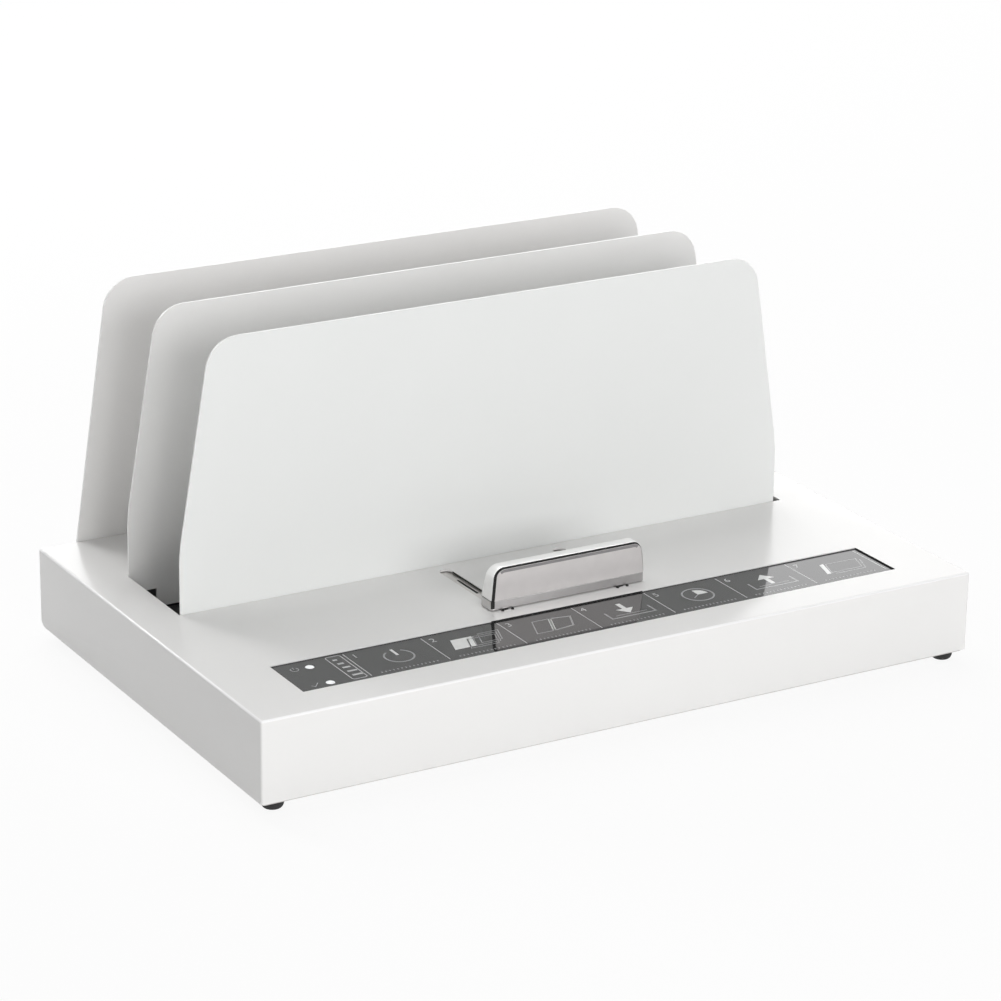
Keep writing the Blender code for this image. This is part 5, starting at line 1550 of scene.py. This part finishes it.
    def signs(self) -> None:
        """One plain sign for each step, and one before each indicator."""
        lines, fills = bmesh.new(), bmesh.new()
        steps = (SIGN_ON, SIGN_SHEETS, SIGN_COVER, SIGN_IN, SIGN_WAIT, SIGN_OUT, SIGN_COOL)
        for cell, sign in enumerate(steps):
            x = self.cell(cell + 0.5) + self.sign_right
            for part in sign.strokes:
                points = [(x + u * MM, self.middle + v * MM) for u, v in part.points]
                self.stroke(lines, points, self.bold if part.bold else self.line, part.closed)
            area = [(x + u * MM, self.middle + v * MM) for u, v in sign.fill]
            Shape.plate(area, self.top, self.top + self.ink, into=fills)
        for lens, parts in (("power", RING_AND_BAR), ("ready", TICK)):
            box = Box(f"indicator_{lens}")
            for part in parts:
                points = [(box.low.x - self.lens_sign + u * MM, box.y + v * MM) for u, v in part]
                self.stroke(lines, points, self.line)
        self.shop.piece("step_signs", lines, FINISHES.print)
        self.shop.piece("step_fills", fills, FINISHES.page)

    def numbers(self) -> None:
        """Plain numbers of the cells, from the built-in letter shapes."""
        bm = bmesh.new()
        for index in range(self.cells):
            curve = bpy.data.curves.new("digit", "FONT")
            curve.body = str(index + 1)
            curve.size, curve.extrude, curve.align_x = self.digit_size, self.ink / 2, "CENTER"
            holder = bpy.data.objects.new("digit", curve)
            bpy.context.scene.collection.objects.link(holder)
            graph = bpy.context.evaluated_depsgraph_get()
            mesh = bpy.data.meshes.new_from_object(holder.evaluated_get(graph))
            bpy.data.objects.remove(holder)
            place = (self.cell(index) + self.digit_right, self.high.y - self.digit_drop,
                     self.top + self.ink / 2)
            mesh.transform(Matrix.Translation(place))
            bm.from_mesh(mesh)
        bmesh.ops.remove_doubles(bm, verts=bm.verts, dist=WELD)
        self.shop.piece("cell_numbers", bm, FINISHES.rule)


@dataclass
class Electronics(SubAssembly):
    """Control board inside the front of the housing, with the parts on it."""

    case_edge: float = 0.2 * MM
    relay_edge: float = 0.3 * MM
    reach: float = 4 * MM
    bobbin: float = 18 * MM
    bobbin_corner: float = 3 * MM
    bobbin_steps: int = 8
    sheets: int = 24
    sheet: float = 0.62 * MM
    winding_inset: float = 1.5 * MM
    winding_edge: float = 1.2 * MM
    chip_columns: int = 9
    chip_rows: int = 2
    chip_width: float = 62 * MM
    chip_depth: float = 5 * MM
    chip_size: Colour = (2.0 * MM, 1.25 * MM, 0.55 * MM)
    chip_seed: int = 11
    chip_share: float = 0.8
    chip_shift: float = 8 * MM
    chip_rise: float = 0.29 * MM

    def build(self) -> None:
        """Dresses the board and its parts."""
        self.shop.dress(FINISHES.board, "control_board")
        for row, column in product(("front", "rear"), ("left", "right")):
            node = f"board_spacer_{row}_{column}"
            self.shop.refine(node, f"hex_{node}", FINISHES.steel, self.case_edge)
        self.shop.refine("relay", "relay_case", FINISHES.blue, self.relay_edge, 2, BENT)
        self.shop.refine("buzzer", "buzzer_case", FINISHES.plastic, self.case_edge)
        self.shop.refine("terminal_block", "terminal_case", FINISHES.blue, self.case_edge)
        self.transformer()
        self.small_parts()

    def transformer(self) -> None:
        """Stack of thin sheets round a wound bobbin."""
        box = Box("transformer")
        low, high = box.low, box.high
        pitch = (high.z - low.z) / self.sheets
        self.shop.row("transformer_core", self.sheets, (box.x, box.y, low.z + pitch / 2), (0.0, 0.0, pitch),
                      (high.x - low.x, high.y - low.y - 2 * self.reach, self.sheet), FINISHES.iron,
                      ["transformer"])
        winding = Shape.rectangle(box.x - self.bobbin / 2, box.x + self.bobbin / 2, low.y, high.y,
                                  self.bobbin_corner, self.bobbin_steps)
        self.shop.piece("transformer_winding",
                        Shape.plate(winding, low.z + self.winding_inset, high.z - self.winding_inset),
                        FINISHES.copper, self.winding_edge, 4)

    def small_parts(self) -> None:
        """Rows of chip resistors, grown on a grid with a fixed seed."""
        board = Box("control_board")
        growth = Growth("chip_parts")
        grid = growth.add("GeometryNodeMeshGrid", {"Vertices X": growth.size("Columns", self.chip_columns),
                                                   "Vertices Y": growth.size("Rows", self.chip_rows),
                                                   "Size X": growth.size("Width", self.chip_width),
                                                   "Size Y": growth.size("Depth", self.chip_depth)})
        seed = growth.size("Seed", self.chip_seed)
        centre = (board.x + self.chip_shift, board.high.y - self.chip_shift, board.high.z + self.chip_rise)
        moved = growth.add("GeometryNodeTransform", {"Geometry": grid.outputs["Mesh"], "Translation": centre})
        chance = growth.add("FunctionNodeRandomValue", {"Probability": self.chip_share, "Seed": seed},
                            data_type="BOOLEAN")
        block = growth.add("GeometryNodeMeshCube", {"Size": growth.size("Part", self.chip_size)})
        made = growth.add("GeometryNodeInstanceOnPoints",
                          {"Points": moved.outputs[0], "Selection": chance.outputs[3],
                           "Instance": block.outputs["Mesh"]})
        self.shop.finish(growth.harvest(made.outputs[0], FINISHES.plastic), FINISHES.plastic)


@dataclass
class RearWall(SubAssembly):
    """Mains inlet and power switch."""

    case_edge: float = 0.25 * MM
    body_edge: float = 0.2 * MM
    pin_pitch: float = 7.0 * MM
    pin_lift: float = 2.0 * MM
    pin_half: float = 1.0 * MM
    pin_reach: float = 2.0 * MM
    pin_corner: float = 0.3 * MM
    pin_foot: float = 14.5 * MM
    pin_tip: float = 3.0 * MM
    pin_skin: float = 0.05 * MM
    mark_radius: float = 1.7 * MM
    mark_line: float = 0.5 * MM
    mark_skin: float = 0.03 * MM

    def build(self) -> None:
        """Makes the inlet, its pins, the switch and the rocker's marks."""
        self.shop.refine("mains_inlet", "inlet_socket", FINISHES.plastic, self.case_edge)
        self.shop.refine("power_switch_body", "switch_case", FINISHES.plastic, self.body_edge)
        self.shop.refine("power_rocker", "switch_rocker", FINISHES.plastic, self.case_edge, body="rocker")
        self.marks()
        self.pins()

    def pins(self) -> None:
        """Three bright pins in the inlet."""
        inlet, skin = Box("mains_inlet"), self.pin_skin
        pins = bmesh.new()
        for side in (-1, 0, 1):
            x = inlet.x + side * self.pin_pitch
            z = inlet.z + (0.0 if side else self.pin_lift)
            pin = Shape.rectangle(x - self.pin_half - skin, x + self.pin_half + skin,
                                  z - self.pin_reach - skin, z + self.pin_reach + skin, self.pin_corner)
            Shape.plate(pin, inlet.high.y - self.pin_foot, inlet.high.y - self.pin_tip + skin, Axis.Y,
                        into=pins)
        self.shop.piece("inlet_pins", pins, FINISHES.ground, self.body_edge)

    def marks(self) -> None:
        """Ring and bar on the rocker's two faces."""
        middle, facing_out = Box("power_rocker").z, 0.9
        outer = [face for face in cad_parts["power_rocker"].data.polygons
                 if face.normal.y > facing_out and face.area > MM * MM]
        radius, across, marks = self.mark_radius, Vector((-1, 0, 0)), bmesh.new()
        for line, upper in ((Shape.circle(radius), False), ([(0.0, -radius), (0.0, radius)], True)):
            faces = [face for face in outer if (face.center.z > middle) is upper]
            centre = sum((face.center for face in faces), Vector()) / len(faces)
            facing = faces[0].normal.copy()
            drawn, mesh = bmesh.new(), bpy.data.meshes.new("mark")
            Shape.ribbon(drawn, line, self.mark_line, -self.mark_skin, self.mark_skin, not upper)
            turn = Matrix((across, facing.cross(across), facing)).transposed().to_4x4()
            drawn.transform(Matrix.Translation(centre) @ turn)
            drawn.to_mesh(mesh)
            drawn.free()
            marks.from_mesh(mesh)
            bpy.data.meshes.remove(mesh)
        self.shop.piece("rocker_marks", marks, FINISHES.mark, body="rocker")


@dataclass(frozen=True)
class Softbox:
    """Soft lamp that points at the machine, with its angles in degrees and its radiance."""

    name: str
    azimuth: float
    elevation: float
    width: float
    height: float
    radiance: float
    distance: float = 2.2

    def build(self, target: Vector) -> None:
        """Hangs the lamp where a ray from the target in its direction ends.

        Args:
            target: the point that it faces.
        """
        azimuth, elevation = math.radians(self.azimuth), math.radians(self.elevation)
        way = Vector((math.sin(azimuth) * math.cos(elevation), math.cos(azimuth) * math.cos(elevation),
                      math.sin(elevation)))
        data = bpy.data.lights.new(self.name, "AREA")
        data.shape = "RECTANGLE"
        data.size, data.size_y = self.width, self.height
        data.energy = math.pi * self.width * self.height * self.radiance
        item = bpy.data.objects.new(self.name, data)
        turn = (-way).to_track_quat("-Z", "Y").to_matrix().to_4x4()
        item.matrix_world = Matrix.Translation(target + way * self.distance) @ turn
        item.visible_camera = False
        bpy.context.scene.collection.objects.link(item)


@dataclass
class Studio:
    """Camera, lamps, floor and surroundings."""

    yaw: float = 30.512
    pitch: float = 19.923
    roll: float = 0.896
    place: Colour = (-0.98137, -1.66320, 0.79083)
    lens: float = 130.255
    film: float = 36.0
    nearest: float = 0.05
    farthest: float = 50.0
    around: float = 0.12
    floor_reach: float = 30.0
    floor_depth: float = 20 * MM
    floor_white: float = 0.9
    floor_grey: float = 0.9
    floor_rough: float = 0.9
    target: float = 80 * MM
    lamps: tuple[Softbox, ...] = (
        Softbox("front_low_softbox", 180, 16, 1.6, 1.0, 4.45),
        Softbox("front_high_softbox", 180, 50, 1.4, 1.4, 0.5),
        Softbox("rear_high_softbox", 0, 63, 1.4, 1.4, 3.15),
        Softbox("rear_left_softbox", -22, 30, 0.6, 0.6, 8.9),
        Softbox("front_left_softbox", -150, 20, 1.4, 1.0, 1.2),
        Softbox("rear_right_softbox", 36, 24, 2.3, 1.4, 1.55),
        Softbox("edge_softbox", 125, 53, 0.4, 0.3, 6.5))

    def build(self) -> None:
        """Sets up the whole studio."""
        self.camera()
        for lamp in self.lamps:
            lamp.build(Vector((0.0, 0.0, self.target)))
        self.surroundings()
        self.floor()
        bpy.context.scene.view_settings.view_transform = "Standard"

    def camera(self) -> None:
        """Camera at the photograph's angle."""
        yaw, pitch, roll = (math.radians(value) for value in (self.yaw, self.pitch, self.roll))
        ahead = Vector((math.sin(yaw) * math.cos(pitch), math.cos(yaw) * math.cos(pitch), -math.sin(pitch)))
        level = Vector((math.cos(yaw), -math.sin(yaw), 0.0))
        upright = level.cross(ahead)
        right = level * math.cos(roll) + upright * math.sin(roll)
        up = upright * math.cos(roll) - level * math.sin(roll)
        data = bpy.data.cameras.new("camera")
        data.sensor_width = self.film
        data.lens = self.lens
        data.clip_start, data.clip_end = self.nearest, self.farthest
        item = bpy.data.objects.new("camera", data)
        turn = Matrix((right, up, -ahead)).transposed().to_4x4()
        item.matrix_world = Matrix.Translation(Vector(self.place)) @ turn
        bpy.context.scene.collection.objects.link(item)
        bpy.context.scene.camera = item

    @staticmethod
    def seen(tree: Tree) -> Signal:
        """1 for rays that show the background itself, in the camera, in metal or in glass.

        Args:
            tree: the node tree that the nodes are added to.

        Returns:
            The signal.
        """
        path = tree.add("ShaderNodeLightPath")
        straight, mirrored, through = (
            Signal(tree, path.outputs[f"Is {kind} Ray"]) for kind in ("Camera", "Glossy", "Transmission"))
        return straight.either(mirrored).either(through)

    def surroundings(self) -> None:
        """White where it is seen, and a low even light elsewhere."""
        world = bpy.data.worlds.new("studio")
        bpy.context.scene.world = world
        tree = Tree(world)
        seen = self.seen(tree)
        dim, white = (tree.add("ShaderNodeBackground", {"Color": (*WHITE, 1), "Strength": strength})
                      for strength in (self.around, 1.0))
        both = tree.add("ShaderNodeMixShader", {0: seen, 1: dim.outputs[0], 2: white.outputs[0]})
        tree.add("ShaderNodeOutputWorld", {"Surface": both.outputs[0]})

    def floor(self) -> None:
        """Wide pale floor that stays white and keeps a soft shadow."""
        reach, grey = self.floor_reach, self.floor_grey
        item = Workshop.plain("floor", Shape.plate(Shape.rectangle(-reach, reach, -reach, reach),
                                                   -self.floor_depth, 0.0))
        tree = Tree(bpy.data.materials.new("pale_floor"))
        matt = tree.add("ShaderNodeBsdfPrincipled",
                        {"Base Color": (grey, grey, grey, 1), "Roughness": self.floor_rough})
        white = tree.add("ShaderNodeEmission", {"Color": (*WHITE, 1), "Strength": 1.0})
        share = self.seen(tree) * self.floor_white
        both = tree.add("ShaderNodeMixShader", {0: share, 1: matt.outputs[0], 2: white.outputs[0]})
        tree.add("ShaderNodeOutputMaterial", {"Surface": both.outputs[0]})
        item.data.materials.append(tree.owner)


def main() -> None:
    """Builds every sub-assembly and the studio round it."""
    logging.basicConfig(level=logging.INFO, format="%(message)s")
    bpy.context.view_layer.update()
    shop = Workshop()
    for kind in (Housing, Dividers, Handle, Carriage, Heater, Sensor, ControlStrip, Electronics, RearWall):
        kind(shop).build()
        for name in shop.hand_over():
            LOG.info("%s: %s", kind.__name__, name)
    Studio().build()


if __name__ == "__main__":
    main()
